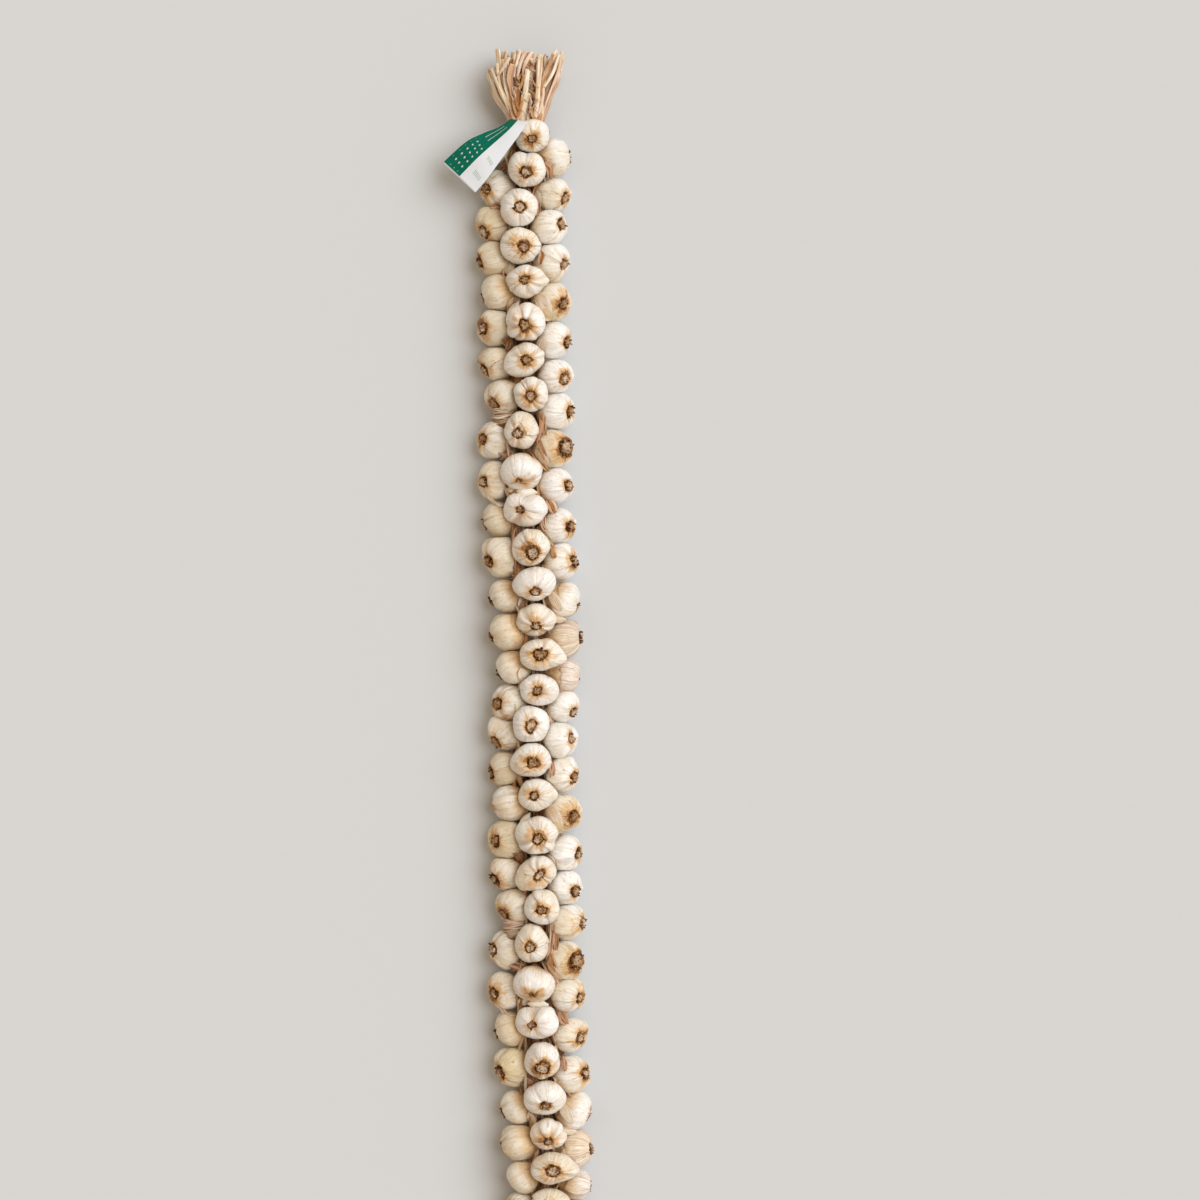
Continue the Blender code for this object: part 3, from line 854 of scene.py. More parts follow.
def peel(shape, points, marks, looks, rng):
    """A torn outer skin over part of the bulb's upper side, with one edge that curls away."""
    share = np.linspace(0, 1, PEEL_STEPS)
    rings = BULB_RINGS
    middle = np.argmax(points[rings * 2 // 3, :, 2]) + rng.uniform(-0.2, 0.2) * BULB_SIDES
    reach = rng.uniform(0.12, 0.30) * BULB_SIDES
    near = rings * rng.uniform(0.30, 0.48) + tear(rng, share, 0.6)
    far = rings * rng.uniform(0.78, 0.94) + tear(rng, share, 0.6)
    row = near[:, None] + (far - near)[:, None] * share
    ragged = tear(rng, share, 0.5)
    column = middle + reach * (2 * share[:, None] - 1) + ragged * np.sign(share[:, None] - 0.5)
    sheet = between(points, row, column)
    outward = grid_normals(sheet)
    away = unit(sheet - points[:rings].mean(axis=(0, 1)))
    outward *= np.sign(np.sum(outward * away, axis=-1).mean())
    side = share if rng.uniform() < 0.5 else 1 - share
    curl = rng.uniform(0.0004, 0.0022) * smoothstep(0.72, 1.0, side)[:, None]
    curl = curl + rng.uniform(0.0002, 0.0010) * smoothstep(0.75, 1.0, 1 - share)[None, :]
    sheet = sheet + outward * (PEEL_GAP + curl)[..., None]
    look = between(looks, row, column)
    look[..., 0] += 0.37
    look[..., 1] += rng.uniform(0.0, 0.3)
    look[..., 3] *= 0.4
    shape.add_sheet(sheet, -PEEL_THICKNESS, between(marks, row, column), look)


def neighbours_of(bulb):
    """The bulbs that this one may touch."""
    near = 3 * bulb.radius
    return [other for other in BULBS if other is not bulb and (other.centre - bulb.centre).length < near]


def neck_rings(bulb, last, radius):
    """The neck from the bulb's last ring to the knot, and on up the plait."""
    knot = np.array(knot_of(BULBS, bulb.row))
    start = last.mean(axis=0)
    inward = start - np.array(bulb.axis) * radius * NECK_TURN_IN
    bend = inward * 0.35 + knot * 0.65
    path = spline((start, inward, bend, knot, knot + NECK_RUN_ON), NECK_RINGS + 1)
    side, up = sweep_frames(path, (0.0, 1.0, 0.3))
    angle = angles_round(BULB_SIDES)[:, None]
    share = NECK_SHARE[..., None]
    pleat = 1 + PLEAT_DEPTH * np.cos(NECK_PLEATS * angle + 3 * share)
    thick = (NECK_RADIUS + (NECK_END_RADIUS - NECK_RADIUS) * share) * pleat
    ring = (side[1:, None] * np.cos(angle) + up[1:, None] * np.sin(angle)) * thick
    # the shoulder's own outline gives way to the pleated one over the first third
    into = np.minimum(1.0, share * 3.0)
    return path[1:, None] + (last - start) * (1 - share) * (1 - into) + ring * into


def rootlets(shape, bulb, nature, plate, radius, rng):
    """Short dried roots round the root plate: thin cones, bent a little."""
    axis, across, along = bulb_axes(bulb)
    angle = angles_round(6)[:, None]
    taper = np.array(ROOTLET_TAPER)[:, None, None]
    for _ in range(nature.rootlets):
        turn = rng.uniform(0, math.tau)
        off = rng.uniform(0.16, 0.32)
        sideways = across * math.cos(turn) + along * math.sin(turn)
        base = plate + (sideways * off * nature.plate - axis * 0.12) * radius
        direction = unit(axis + sideways * rng.uniform(-0.5, 0.6) + rng.normal(0, 0.25, 3))
        length = radius * rng.uniform(0.06, 0.13)
        mark = (off * math.cos(turn), off * math.sin(turn), rng.uniform(-4, 4))
        width = radius * rng.uniform(0.035, 0.065)
        bend = rng.normal(0, 0.35, 3)
        path = np.array([base, base + direction * length * 0.5, base + (direction + bend) * length])
        side, up = sweep_frames(path)
        ring = side[:, None] * np.cos(angle) + up[:, None] * np.sin(angle)
        shape.add_tube(path[:, None] + ring * (taper * width), mark, (nature.seed, 0.0, 0.0, 0.0), slot=1)


def make_bulb(number, bulb):
    """One bulb with its root plate, cloves and neck, as a piece of its own."""
    rng = np.random.default_rng(FIRST_BULB_SEED + number)
    nature = Character(bulb, rng)
    radius = bulb.radius * FULLNESS[bulb.column] * nature.full
    axis, across, along = bulb_axes(bulb)
    marks, crease, body = body_rings(nature, rng)
    points = body @ np.array((across, along, axis)) * radius * (1, BULB_SQUASH, 1) + np.array(bulb.centre)
    points = np.concatenate((points, neck_rings(bulb, points[-1], radius)))
    points = press(points, bulb, neighbours_of(bulb))
    points[..., 2] = np.maximum(points[..., 2], FLOOR_GAP)

    neck_marks = np.repeat(marks[-1:], NECK_RINGS, axis=0)
    neck_marks[..., 2] -= NECK_SHARE * NECK_LENGTH
    marks = np.concatenate((marks, neck_marks))
    looks = np.zeros(marks.shape[:2] + (4,))
    looks[..., :3] = (nature.seed, nature.warmth, nature.stain)
    looks[:BULB_RINGS, :, 3] = crease
    slots = np.zeros(len(points) - 1, int)
    slots[: int(np.argmax(spline(BULB_PROFILE, BULB_RINGS)[:, 1] > PLATE_EDGE))] = 1
    shape = Shape()
    shape.add_tube(points, marks, looks, slot=slots)
    if nature.peeled:
        peel(shape, points, marks, looks, rng)
    rootlets(shape, bulb, nature, points[:4].mean(axis=(0, 1)), radius, rng)
    row = f"{bulb.row + 1:02d}"
    shape.build(f"bulb_{row}_{bulb.column}", (SKIN, ROOT), "garlic_skin", f"bulb_row_{row}")


for number, bulb in enumerate(BULBS):
    make_bulb(number, bulb)

# ---- stems: the plait and the sheaths

STEM_SIDES = 7
STEM_RIDGE = 0.00025
ROUND_MARK = 0.002  # the radius that the straw's fibres are drawn at, in the mark's third value


def flat_stem(shape, path, width, thickness, upward, look, curl=0.25, sides=STEM_SIDES):
    """A flat dry stem along a path: an oval section, dished by the curl, as wide as given at each step."""
    side, up = sweep_frames(path, upward)
    angle = angles_round(sides)
    width = np.broadcast_to(width, len(path))[:, None, None] / 2
    thickness = np.broadcast_to(thickness, len(path))[:, None, None] / 2
    across = np.cos(angle)[:, None]
    rise = np.sin(angle)[:, None] * thickness + np.reshape(curl, (-1, 1, 1)) * width * across**2
    rise = rise + STEM_RIDGE * np.cos(5 * math.pi * across)
    points = path[:, None] + side[:, None] * across * width + up[:, None] * rise
    run = np.concatenate(((0,), np.cumsum(np.linalg.norm(np.diff(path, axis=0), axis=1))))
    mark = grid_of(across[:, 0] * width[..., 0], run[:, None], np.sin(angle) * ROUND_MARK)
    shape.add_tube(points, mark, look)


def straw_look(rng, warmth, shade):
    """A look for the straw, with its seed, warmth and shade drawn at random between the given values."""
    return rng.uniform(), rng.uniform(*warmth), rng.uniform(*shade), 0.0


def roughly_up(rng, spread, aside=0.0, along=0.0):
    """A random direction near +Z, leaned to the side and along the braid as given."""
    return unit(rng.normal(0, spread, 3) + (aside, along, 1))


def spindle(start, end, steps, power=1.0):
    """Widths along a leaf with two narrow ends: half a wave, less this much of its start and end."""
    return np.sin(np.linspace(start, math.pi - end, steps)) ** power


def dry_leaf(shape, rng, path, kind, outline, aside=0.0):
    """A leaf or stem of this kind along a path, with the outline's widths, and leaned to the side."""
    warmth, shade, width, thickness, lean, curl = kind
    look = straw_look(rng, warmth, shade)
    widths = rng.uniform(*width) * outline
    upward = roughly_up(rng, lean, aside)
    flat_stem(shape, path, widths, thickness, upward, look, rng.uniform(-curl, curl))


PLAIT_STEP = 0.008
PITCH = 0.0494  # the mean step from one row to the next
PLAIT_TURN = 2 * PITCH  # how far a strand runs along the plait before it is back where it was
PLAIT_REACH = 0.0095
PLAIT_RISE = 0.0048
PLAIT_MIDDLE = 0.0092
PLAIT_PAST = (0.004, 0.006)  # how far it runs past the last knot, and past the tuft's foot
STRAND_HALF = (0.0036, 0.0022)  # how far a strand's stems lie from its middle, across and up
STEMS_IN_STRAND = 5
SHEATHS_FROM_BULB = 3
SHEATH_STEPS = 13
# Kinds of leaf: the ranges of warmth, shade and width, the thickness, how far it leans from facing up, and
# the most that it curls.
SHEATH = ((0.15, 1.0), (0.0, 0.4), (0.004, 0.009), 0.0010, 0.5, 0.5)
SIDE_STEM = ((0.25, 1.0), (0.0, 0.5), (0.004, 0.009), 0.0012, 0.4, 0.5)
GAP_LEAF = ((0.1, 1.1), (0.05, 0.45), (0.0030, 0.0068), 0.0009, 0.35, 0.6)
SIDE_STEMS = 4
SIDE_STEMS_TOP = 0.018
GAP_LEAVES = (-1, -1, -1, 1, 1, 1, 1)  # the sides of one row's leaves: -1 left, 1 right
STRAND_STEPS = 12
FIRST_AGAIN = 80  # the strands above this place, in millimetres, do not come again further down
STRAND_FIBRES = 3
LOOSE_SKINS = 20
# Shed skins over and between the bulbs, in millimetres and degrees: place across, place below the first
# row, height, lean to the right, half length, half width; then warmth, stain and groove.
COVERS = (
    (21, 221, 50, 148, 21, 10, 0.35, -0.7, 0.2),
    (25, 237, 50, 120, 11, 8, 0.9, 0.8, 0.3),
    (-20, 229, 47, 32, 15, 6, 0.25, 0.1, 0),
    (-25, 471, 44, 85, 10, 6, 0.45, 0, 0.3),
    (-7, 475, 51, 95, 15, 6.5, 0.15, 0.2, 0),
    (17, 432, 47, 145, 16, 6, 0.45, -0.9, 0.4),
    (28, 622, 50, 150, 17, 7.5, 0.35, -0.9, 0.1),
    (30, 647, 48, 100, 13, 6, 0.5, -0.5, 0.2),
)
# Stems and straps of leaf between the bulbs, in millimetres: place across, place below the first row and
# height along the course, then the width; then warmth and shade.
STRANDS = (
    (((-52, 363, 38), (-38, 365, 45), (-20, 363, 44)), 6.5, 0, 0.1),
    (((-51, 368, 36), (-38, 368, 43), (-20, 366, 42)), 6, 0.3, 0.35),
    (((-53, 371, 38), (-38, 370, 46), (-21, 368, 45)), 7, -0.1, 0.05),
    (((-52, 376, 36), (-38, 375, 43), (-22, 372, 42)), 6, 0.4, 0.3),
    (((-50, 378, 37), (-37, 378, 45), (-24, 375, 43)), 6.5, 0.1, 0.15),
    (((-47, 384, 35), (-36, 385, 42), (-24, 382, 40)), 5.5, 0.6, 0.3),
    (((-60, 478, 32), (-53, 486, 35), (-45, 491, 36), (-36, 493, 33)), 4.5, 0.1, 0),
    (((22, 484, 46), (26, 494, 50), (32, 505, 46)), 10, 0.8, 0),
    (((26, 32, 58), (32, 40, 58), (34, 52, 50)), 6.5, 0.9, 0),
    (((41, 33, 58), (37, 42, 56), (35, 50, 50)), 4.5, 0.75, 0.1),
    (((13, 362, 46), (15, 384, 51), (12, 404, 50), (5, 418, 46)), 6, 0.55, 0),
    (((20, 366, 43), (19, 384, 47), (20, 402, 45)), 6, 0.8, 0.1),
    (((-1, 416, 48), (9, 430, 52), (18, 442, 51), (25, 450, 44)), 6.5, 0.6, 0),
    (((8, 398, 46), (16, 418, 49), (20, 436, 47)), 6.5, 0.75, 0.1),
    (((-45, 419, 36), (-33, 424, 42), (-21, 427, 42)), 7, 0.3, 0.25),
    (((-42, 431, 36), (-31, 425, 43), (-23, 417, 42)), 5, 0.6, 0.3),
    (((-37, 268, 38), (-29, 276, 42), (-22, 285, 38)), 5.5, 0.95, 0.3),
    (((-33, 284, 38), (-27, 276, 43), (-25, 264, 38)), 4.5, 0.9, 0.4),
    (((-33, 266, 38), (-27, 272, 42), (-22, 280, 38)), 4, 0.8, 0.2),
    (((-33, 582, 36), (-25, 586, 42), (-14, 588, 42)), 5, 0.9, 0.3),
    (((-32, 590, 36), (-24, 591, 42), (-15, 592, 40)), 4, 0.8, 0.45),
    (((-27, 574, 40), (-21, 580, 44), (-13, 584, 42)), 5.5, 0.75, 0.15),
    (((-24, 568, 41), (-20, 580, 43), (-19, 594, 38)), 4.5, 1, 0.35),
    (((-16, 568, 42), (-14, 577, 44), (-8, 584, 42)), 4, 0.95, 0.3),
    (((24, 546, 42), (27, 555, 46), (29, 566, 42)), 6, 0.9, 0.05),
    (((14, 506, 42), (15, 518, 46), (20, 532, 42)), 7, 0.6, 0.15),
    (((12, 573, 46), (17, 580, 48), (19, 592, 44)), 5, 0.35, 0),
    (((-12, 615, 40), (-15, 628, 44), (-12, 642, 40)), 6, 0.8, 0.3),
    (((-12, 655, 40), (-14, 668, 44), (-10, 682, 40)), 6, 0.8, 0.3),
    (((16, 104, 40), (17, 92, 45), (15, 80, 42)), 6, 0.8, 0.1),
    (((19, 146, 40), (20, 158, 45), (18, 170, 40)), 6, 0.7, 0.1),
    (((-36, 82, 36), (-44, 88, 40), (-33, 90, 40)), 6, 0.85, 0.05),
    (((-13, 10, 40), (-18, 24, 42), (-29, 38, 38)), 6, 0.95, 0.25),
    (((-10, 16, 36), (-16, 32, 38), (-21, 46, 34)), 6.5, 1, 0.35),
    (((-17, 18, 38), (-24, 30, 38), (-34, 38, 34)), 5, 0.8, 0.2),
    # The next two are broad dark straps laid low, whose painted shade darkens the gap below the tag.
    (((-6, 4, 30), (-15, 22, 33), (-27, 42, 28)), 10, 1, 0.5),
    (((-12, 20, 30), (-22, 30, 33), (-38, 38, 28)), 9, 1, 0.45),
)


def plait_stems(shape, rng):
    """Three strands of flat stems that cross over each other behind the bulbs."""
    bottom = knot_of(BULBS, ROWS - 1).y - PLAIT_PAST[0]
    y = np.arange(bottom, TUFT_BASE + PLAIT_PAST[1], PLAIT_STEP)
    for strand in range(3):
        turn = math.tau * (y / PLAIT_TURN + strand / 3)
        for stem in range(STEMS_IN_STRAND):
            around = math.tau * stem / STEMS_IN_STRAND + rng.uniform(-0.3, 0.3)
            wander = rng.uniform(0, math.tau)
            apart = STRAND_HALF[0] * math.cos(around) + 0.0008 * np.sin(y * 90 + wander)
            lift = STRAND_HALF[1] * math.sin(around) + 0.0006 * np.sin(y * 70 + wander)
            x = PLAIT_REACH * np.sin(turn) + apart
            z = PLAIT_MIDDLE + PLAIT_RISE * np.sin(2 * turn) + lift
            look = straw_look(rng, (0.2, 0.9), (0.0, 0.35))
            upward = (0.4 * math.cos(around), 0.2, math.sin(around) + 0.4)
            width = rng.uniform(0.0042, 0.0062)
            flat_stem(shape, grid_of(x, y, z), width, rng.uniform(0.0012, 0.0020), upward, look)


def neck_sheaths(shape, rng):
    """Dry leaves and split necks that fill the middle of the braid, over the plait and under the bulbs."""
    for bulb in BULBS:
        knot = np.array(knot_of(BULBS, bulb.row))
        inner = np.array(bulb.centre) - np.array(bulb.axis) * bulb.radius * 0.8
        for _ in range(SHEATHS_FROM_BULB):
            start = inner + rng.normal(0, 0.005, 3)
            middle = (start + knot) / 2 + rng.normal(0, 0.005, 3) + (0, 0, 0.003)
            turn = knot + rng.normal(0, (0.006, 0.004, 0.003))
            end = knot + (rng.normal(0, 0.008), rng.uniform(0.03, 0.06), rng.uniform(-0.006, 0.009))
            bent = (turn + end) / 2 + rng.normal(0, 0.003, 3)
            path = spline((start, middle, turn, bent, end), SHEATH_STEPS)
            path[:, 2] = np.clip(path[:, 2], 0.004, None)
            dry_leaf(shape, rng, path, SHEATH, spindle(0.35, 0.2, SHEATH_STEPS, 0.5))


def side_stems(shape, rng):
    """Stems that run up the braid on both sides of the plait, where the gaps between bulbs show them."""
    share = np.linspace(0, 1, 5)
    for row in range(ROWS):
        for side in (-1, 1):
            y = knot_of(BULBS, row).y
            for _ in range(SIDE_STEMS):
                x = (BULBS[3 * row + 1].centre.x + BULBS[3 * row + 1 + side].centre.x) / 2
                x += rng.uniform(-0.006, 0.006)
                z = rng.uniform(0.006, 0.022)
                low = rng.uniform(-0.04, 0.0)
                length = min(rng.uniform(0.06, 0.10), SIDE_STEMS_TOP - y - low)
                lean = side * rng.normal(-0.004, 0.006)
                path = grid_of(x + lean * share, y + low + length * share, z)
                path[:, ::2] += rng.normal(0, 0.0022, (5, 2))
                path[:, 2] = np.clip(path[:, 2], 0.003, None)
                dry_leaf(shape, rng, spline(path, STRAND_STEPS), SIDE_STEM, 1.0, side * 0.3)


def valley(row, side):
    """The place between two rows, and between the centre column and the one on this side."""
    corners = [BULBS[3 * (row + step) + 1 + column] for step in (0, 1) for column in (0, side)]
    return np.mean([np.array(bulb.centre) for bulb in corners], axis=0)


def gap_leaves(shape, rng):
    """Dry leaves that lie high in the two valleys between the centre bulbs and those at the sides."""
    share = np.linspace(-1, 1, 5)
    for row, side in ((row, side) for row in range(ROWS - 1) for side in GAP_LEAVES):
        x, y, _ = valley(row, side) + rng.normal(0, 0.0035, 3)
        z = rng.uniform(0.032, 0.047)
        length = rng.uniform(0.022, 0.042)
        lean = rng.normal(0, 0.007)
        y += rng.normal(0, 0.006)
        path = grid_of(x + lean * share, y + length * share, z - 0.006 * share**2)
        path[:, ::2] += rng.normal(0, 0.0015, (5, 2))
        outline = spindle(0.12, 0.12, STRAND_STEPS, 0.6)
        dry_leaf(shape, rng, spline(path, STRAND_STEPS), GAP_LEAF, outline, side * 0.5)


def on_side_bulbs(points, gap):
    """Points raised, where they would be inside a bulb at the side, to lie on it."""
    points = np.array(points)
    for bulb in BULBS:
        if bulb.column == "centre":
            continue
        radius = bulb.radius * FULLNESS[bulb.column] + gap
        x = points[..., 0] - bulb.centre.x
        y = (points[..., 1] - bulb.centre.y) / BULB_SQUASH
        inside = radius**2 - x**2 - y**2
        top = bulb.centre.z + np.sqrt(np.maximum(inside, 0.0))
        points[..., 2] = np.where(inside > 0, np.maximum(points[..., 2], top), points[..., 2])
    return points


def petal(shape, rng, centre, along, long, wide, dish, look):
    """A leaf of shed skin: pointed at both ends, dished, with a slightly ragged edge."""
    share = np.linspace(-1, 1, STRAND_STEPS)
    along = unit(np.array(along, float))
    across = unit(np.cross(along, (0.4 * math.copysign(1, centre[0]), 0, 1)))
    outline = np.maximum(1 - np.abs(share) ** 2.4, 0.12) * (1 + rng.uniform(-0.06, 0.06, STRAND_STEPS))
    sideways = (share * wide)[None, :] * outline[:, None]
    points = centre + along * (share * long)[:, None, None] + across * sideways[..., None]
    points[..., 2] -= dish * (share[None, :] ** 2 * wide + 0.4 * share[:, None] ** 2 * long)
    points = on_side_bulbs(points, 0.0012)
    turned = rng.uniform(0, math.tau) + 0.25 * share
    mark = grid_of(0.8 * np.cos(turned), 0.8 * np.sin(turned), 0.6 * share[:, None])
    shape.add_sheet(points, PEEL_THICKNESS, mark, look)


def loose_skins(shape, rng):
    """Thin bits of shed skin caught between the bulbs, and the larger ones that lie where listed."""
    for _ in range(LOOSE_SKINS):
        row = int(rng.integers(1, ROWS - 1))
        side = int(rng.choice((-1, 1)))
        centre = valley(row, side) + rng.normal(0, 0.002, 3)
        centre[2] = rng.uniform(0.036, 0.044)
        turn = rng.uniform(-0.7, 0.7)
        along = (math.sin(turn), math.cos(turn), rng.uniform(-0.2, 0.2))
        look = (rng.uniform(), rng.uniform(0.1, 0.7), rng.choice((0.2, -1.0)), rng.uniform(0, 0.4))
        size = rng.uniform((0.011, 0.005), (0.018, 0.009))
        petal(shape, rng, centre, along, *size, rng.uniform(0.15, 0.35), look)
    for down in (0.0, DOWN_AGAIN):
        for x, below, height, lean, long, wide, *look in COVERS:
            centre = np.array((x, -below, height)) / 1000 - (0, down, 0)
            along = (math.sin(math.radians(lean)), math.cos(math.radians(lean)), 0.0)
            petal(shape, rng, centre, along, long / 1000, wide / 1000, 0.3, (rng.uniform(), *look))


def strands(shape, rng):
    """Stems and straps of dry leaf that show between the bulbs, where listed: fibres side by side."""
    share = np.linspace(-1, 1, STRAND_STEPS)
    taper = (1 - share**2) ** 0.55 + 0.04
    again = [(DOWN_AGAIN, strand) for strand in STRANDS if strand[0][0][1] >= FIRST_AGAIN]
    for down, (course, width, warmth, shade) in [(0.0, strand) for strand in STRANDS] + again:
        controls = np.array(course) * (0.001, -0.001, 0.001) - (0, down, 0)
        path = on_side_bulbs(spline(controls, STRAND_STEPS), 0.0010)
        # the ends dip in between the bulbs
        path[:, 2] -= 0.0045 * share**4
        across = unit(np.cross(path[-1] - path[0], (0.0, 0.0, 1.0)))
        for fibre in range(STRAND_FIBRES):
            aside = width / 1000 * (fibre / (STRAND_FIBRES - 1) - 0.5) * 0.8
            wobble = 0.0007 * np.sin(share * rng.uniform(2, 5) + rng.uniform(0, 6))
            own = path + across * (aside * (1 - 0.4 * share**2) + wobble)[:, None]
            own[:, 2] += rng.uniform(-0.0010, 0.0008)
            widths = width / 1000 * rng.uniform(0.32, 0.58) * taper
            look = straw_look(rng, (warmth - 0.35, warmth + 0.35), (shade, shade + 0.30))
            upward = roughly_up(rng, 0.25, 0.1 * math.copysign(1, controls[0, 0]), 0.2)
            flat_stem(shape, own, widths, 0.0014, upward, look, rng.uniform(-0.2, 0.5))


# what fills each piece, and where its random draws start
for fill, seed in ((plait_stems, 7), (strands, 12), (neck_sheaths, 8), (side_stems, 9), (gap_leaves, 10)):
    shape = Shape()
    fill(shape, np.random.default_rng(seed))
    shape.build(fill.__name__, (STRAW,), "stem_straw", "plait")
shape = Shape()
loose_skins(shape, np.random.default_rng(11))
shape.build("loose_skins", (SKIN, ROOT), "garlic_skin", "plait")

# ---- the cut tuft

TUFT_STEMS = 88
TUFT_STEPS = 18
TUFT_SIDES = 12
GOLDEN_ANGLE = math.pi * (3 - math.sqrt(5))
TUFT_NECK = (0.0030, 0.0250)  # middle of the neck, x and z, where the stems come out above bulb 1
TUFT_NECK_HALF = (0.0225, 0.0180)
TUFT_TOP = (0.0080, 0.0335)
TUFT_TOP_HALF = (0.0450, 0.0265)
TUFT_NECK_Y = 0.029
TUFT_WARMTHS = (-0.2, 0.2, 0.5, 0.9)
TUFT_ODDS = (0.38, 0.24, 0.20, 0.18)
TUFT_WIDTH = (0.0042, 0.0080)
TUFT_THICKNESS = (0.0020, 0.0042)
TUFT_BACK = -0.3  # the back layer ends here, and the front one starts there, from -1 to 1
TUFT_FRONT = 0.4
# How high the stems reach, along the braid from the foot of the tuft, at places from its left to its right.
TUFT_PLACES = (-1.0, -0.85, -0.45, -0.25, 0.1, 0.5, 1.0)
TUFT_HEIGHTS = (0.104, 0.120, 0.118, 0.126, 0.119, 0.112, 0.117)
# Stems and broad sheaths that stand out at the front, in millimetres from the foot up: their course,
# then width, thickness, curl, warmth and shade.
FRONT_STEMS = (
    (((-20, 34, 36), (-34, 62, 42), (-45, 93, 46)), 11, 1.2, 0.45, 0.15, 0.05),
    (((-18, 34, 42), (-27, 60, 47), (-37, 84, 50)), 6, 2.2, 0.2, 0.45, 0),
    (((-15, 36, 40), (-22, 66, 44), (-29, 100, 46)), 6.5, 2.6, 0.2, 0.3, 0),
    (((-10, 34, 40), (-15, 66, 44), (-17, 112, 45)), 6.5, 2.6, 0.2, 0.5, 0.05),
    (((20, 32, 38), (31, 62, 42), (41, 96, 45), (47, 113, 43)), 7, 2.4, 0.1, 0.2, 0),
    (((18, 34, 40), (24, 66, 46), (30, 106, 48)), 6.5, 2.6, 0.1, 0.45, 0.05),
    (((8, 34, 38), (10, 70, 42), (12, 112, 44)), 6.5, 2.4, 0.1, 0.3, 0.1),
    (((-12, 34, 44), (-23, 62, 50), (-25, 84, 53), (-23, 105, 52)), 5.5, 3, 0.1, -0.2, 0),
    (((-19, 44, 40), (-30, 88, 44), (-33, 125, 42)), 7, 3, 0.3, 0, 0),
    (((-16, 48, 42), (-25, 92, 47), (-21, 122, 44)), 5, 2.6, 0.2, 0.35, 0),
    (((-37, 82, 53), (-27, 97, 56), (-17, 111, 54)), 4.6, 1.4, 0.3, 0.25, 0),
    (((-14, 40, 46), (-19, 66, 52), (-14, 92, 54), (-9, 116, 50)), 6, 3.2, 0.1, 0.6, 0),
    (((-12, 84, 54), (-7, 103, 56), (-3, 120, 50)), 5.2, 3, 0.2, 0.15, 0),
    (((-7, 84, 56), (-2, 101, 59), (5, 119, 52)), 6, 3.4, 0.1, 0.3, 0),
    (((0, 86, 57), (5, 102, 59), (13, 118, 52)), 5.6, 3, 0.2, 0.05, 0),
    (((-1, 38, 49), (3, 64, 58), (8, 94, 62)), 8, 1.6, -0.3, -0.1, 0),
    (((-3, 28, 48), (1, 44, 54), (6, 62, 60)), 11, 1.4, -0.25, 0.1, 0.05),
    (((16, 30, 46), (18, 60, 53), (23, 90, 58), (25, 114, 57)), 8, 3, -0.1, 0.05, 0),
    (((19, 31, 43), (27, 58, 50), (31, 82, 56), (37, 103, 57), (47, 120, 52)), 5.6, 3.4, 0, -0.1, 0),
    (((24, 31, 37), (34, 56, 44), (46, 90, 50), (54, 119, 48)), 6.2, 2.8, 0.2, 0.3, 0),
    (((20, 46, 46), (26, 72, 54), (35, 96, 58), (43, 116, 55)), 5, 3, 0.1, 0.5, 0),
    (((29, 70, 54), (38, 89, 57), (51, 113, 53)), 5.2, 3.2, 0.1, -0.05, 0),
    (((27, 31, 31), (35, 56, 35), (44, 82, 40), (55, 113, 42)), 5.4, 2.4, 0.2, 0.4, 0.05),
    (((-17, 34, 44), (-15, 52, 50), (-11, 72, 55)), 6, 2.6, 0.2, 0.95, 0),
    (((-9, 32, 48), (-6, 50, 54), (-7, 70, 58)), 6, 2.4, 0.3, 0.85, 0.05),
    (((-12, 58, 52), (-4, 71, 58), (2, 86, 60)), 5, 2.2, 0.2, 0.9, 0.1),
    (((24, 30, 42), (25, 44, 46), (22, 60, 50)), 5.5, 2.6, 0.1, 0, 0),
    (((-18, 36, 45), (-30, 64, 51), (-42, 97, 54)), 4.6, 2.4, 0.1, -0.3, 0),
    (((-16, 40, 48), (-29, 72, 53), (-34, 104, 54)), 4.2, 2.8, 0.1, -0.3, 0),
    (((-20, 42, 42), (-36, 74, 47), (-46, 99, 48)), 3.6, 2, 0.2, 0.6, 0.1),
    (((-14, 60, 53), (-17, 82, 57), (-12, 101, 58)), 9, 1.2, 0.6, 1, 0.1),
)
# Stems bent back on themselves low in the neck, in millimetres: their course and width.
LOOPS = (
    (((-17, 56, 47), (-16, 38, 49), (-10, 26, 50), (-4, 37, 52), (-2, 52, 55)), 5),
    (((-13, 62, 52), (-12, 44, 53), (-8, 33, 53), (-3, 46, 56), (0, 60, 59)), 4.5),
    (((9, 46, 50), (13, 32, 48), (19, 27, 46), (25, 38, 44)), 5),
    (((-19, 44, 44), (-17, 32, 46), (-11, 24, 48), (-5, 30, 50), (-5, 42, 52)), 4.5),
    (((-8, 66, 55), (-9, 50, 55), (-5, 40, 56), (-1, 52, 58)), 4),
)
# Curled bits of dry sheath in the tuft, in millimetres: their place and how long they are.
CURLS = (
    ((-4, 82, 60), 12),
    ((-1, 72, 61), 14),
    ((-7, 75, 59), 12),
    ((14, 103, 57), 12),
    ((10, 97, 60), 10),
)
CURL_THICKNESS = 0.0006
FRAYS = 34
FRAYS_FROM = (-0.026, 0.040)  # x and y of the part of the front that they lie on
FRAYS_TO = (0.030, 0.108)
FRAYS_MIDDLE = 0.006
FRAYS_HEIGHT = 0.0565


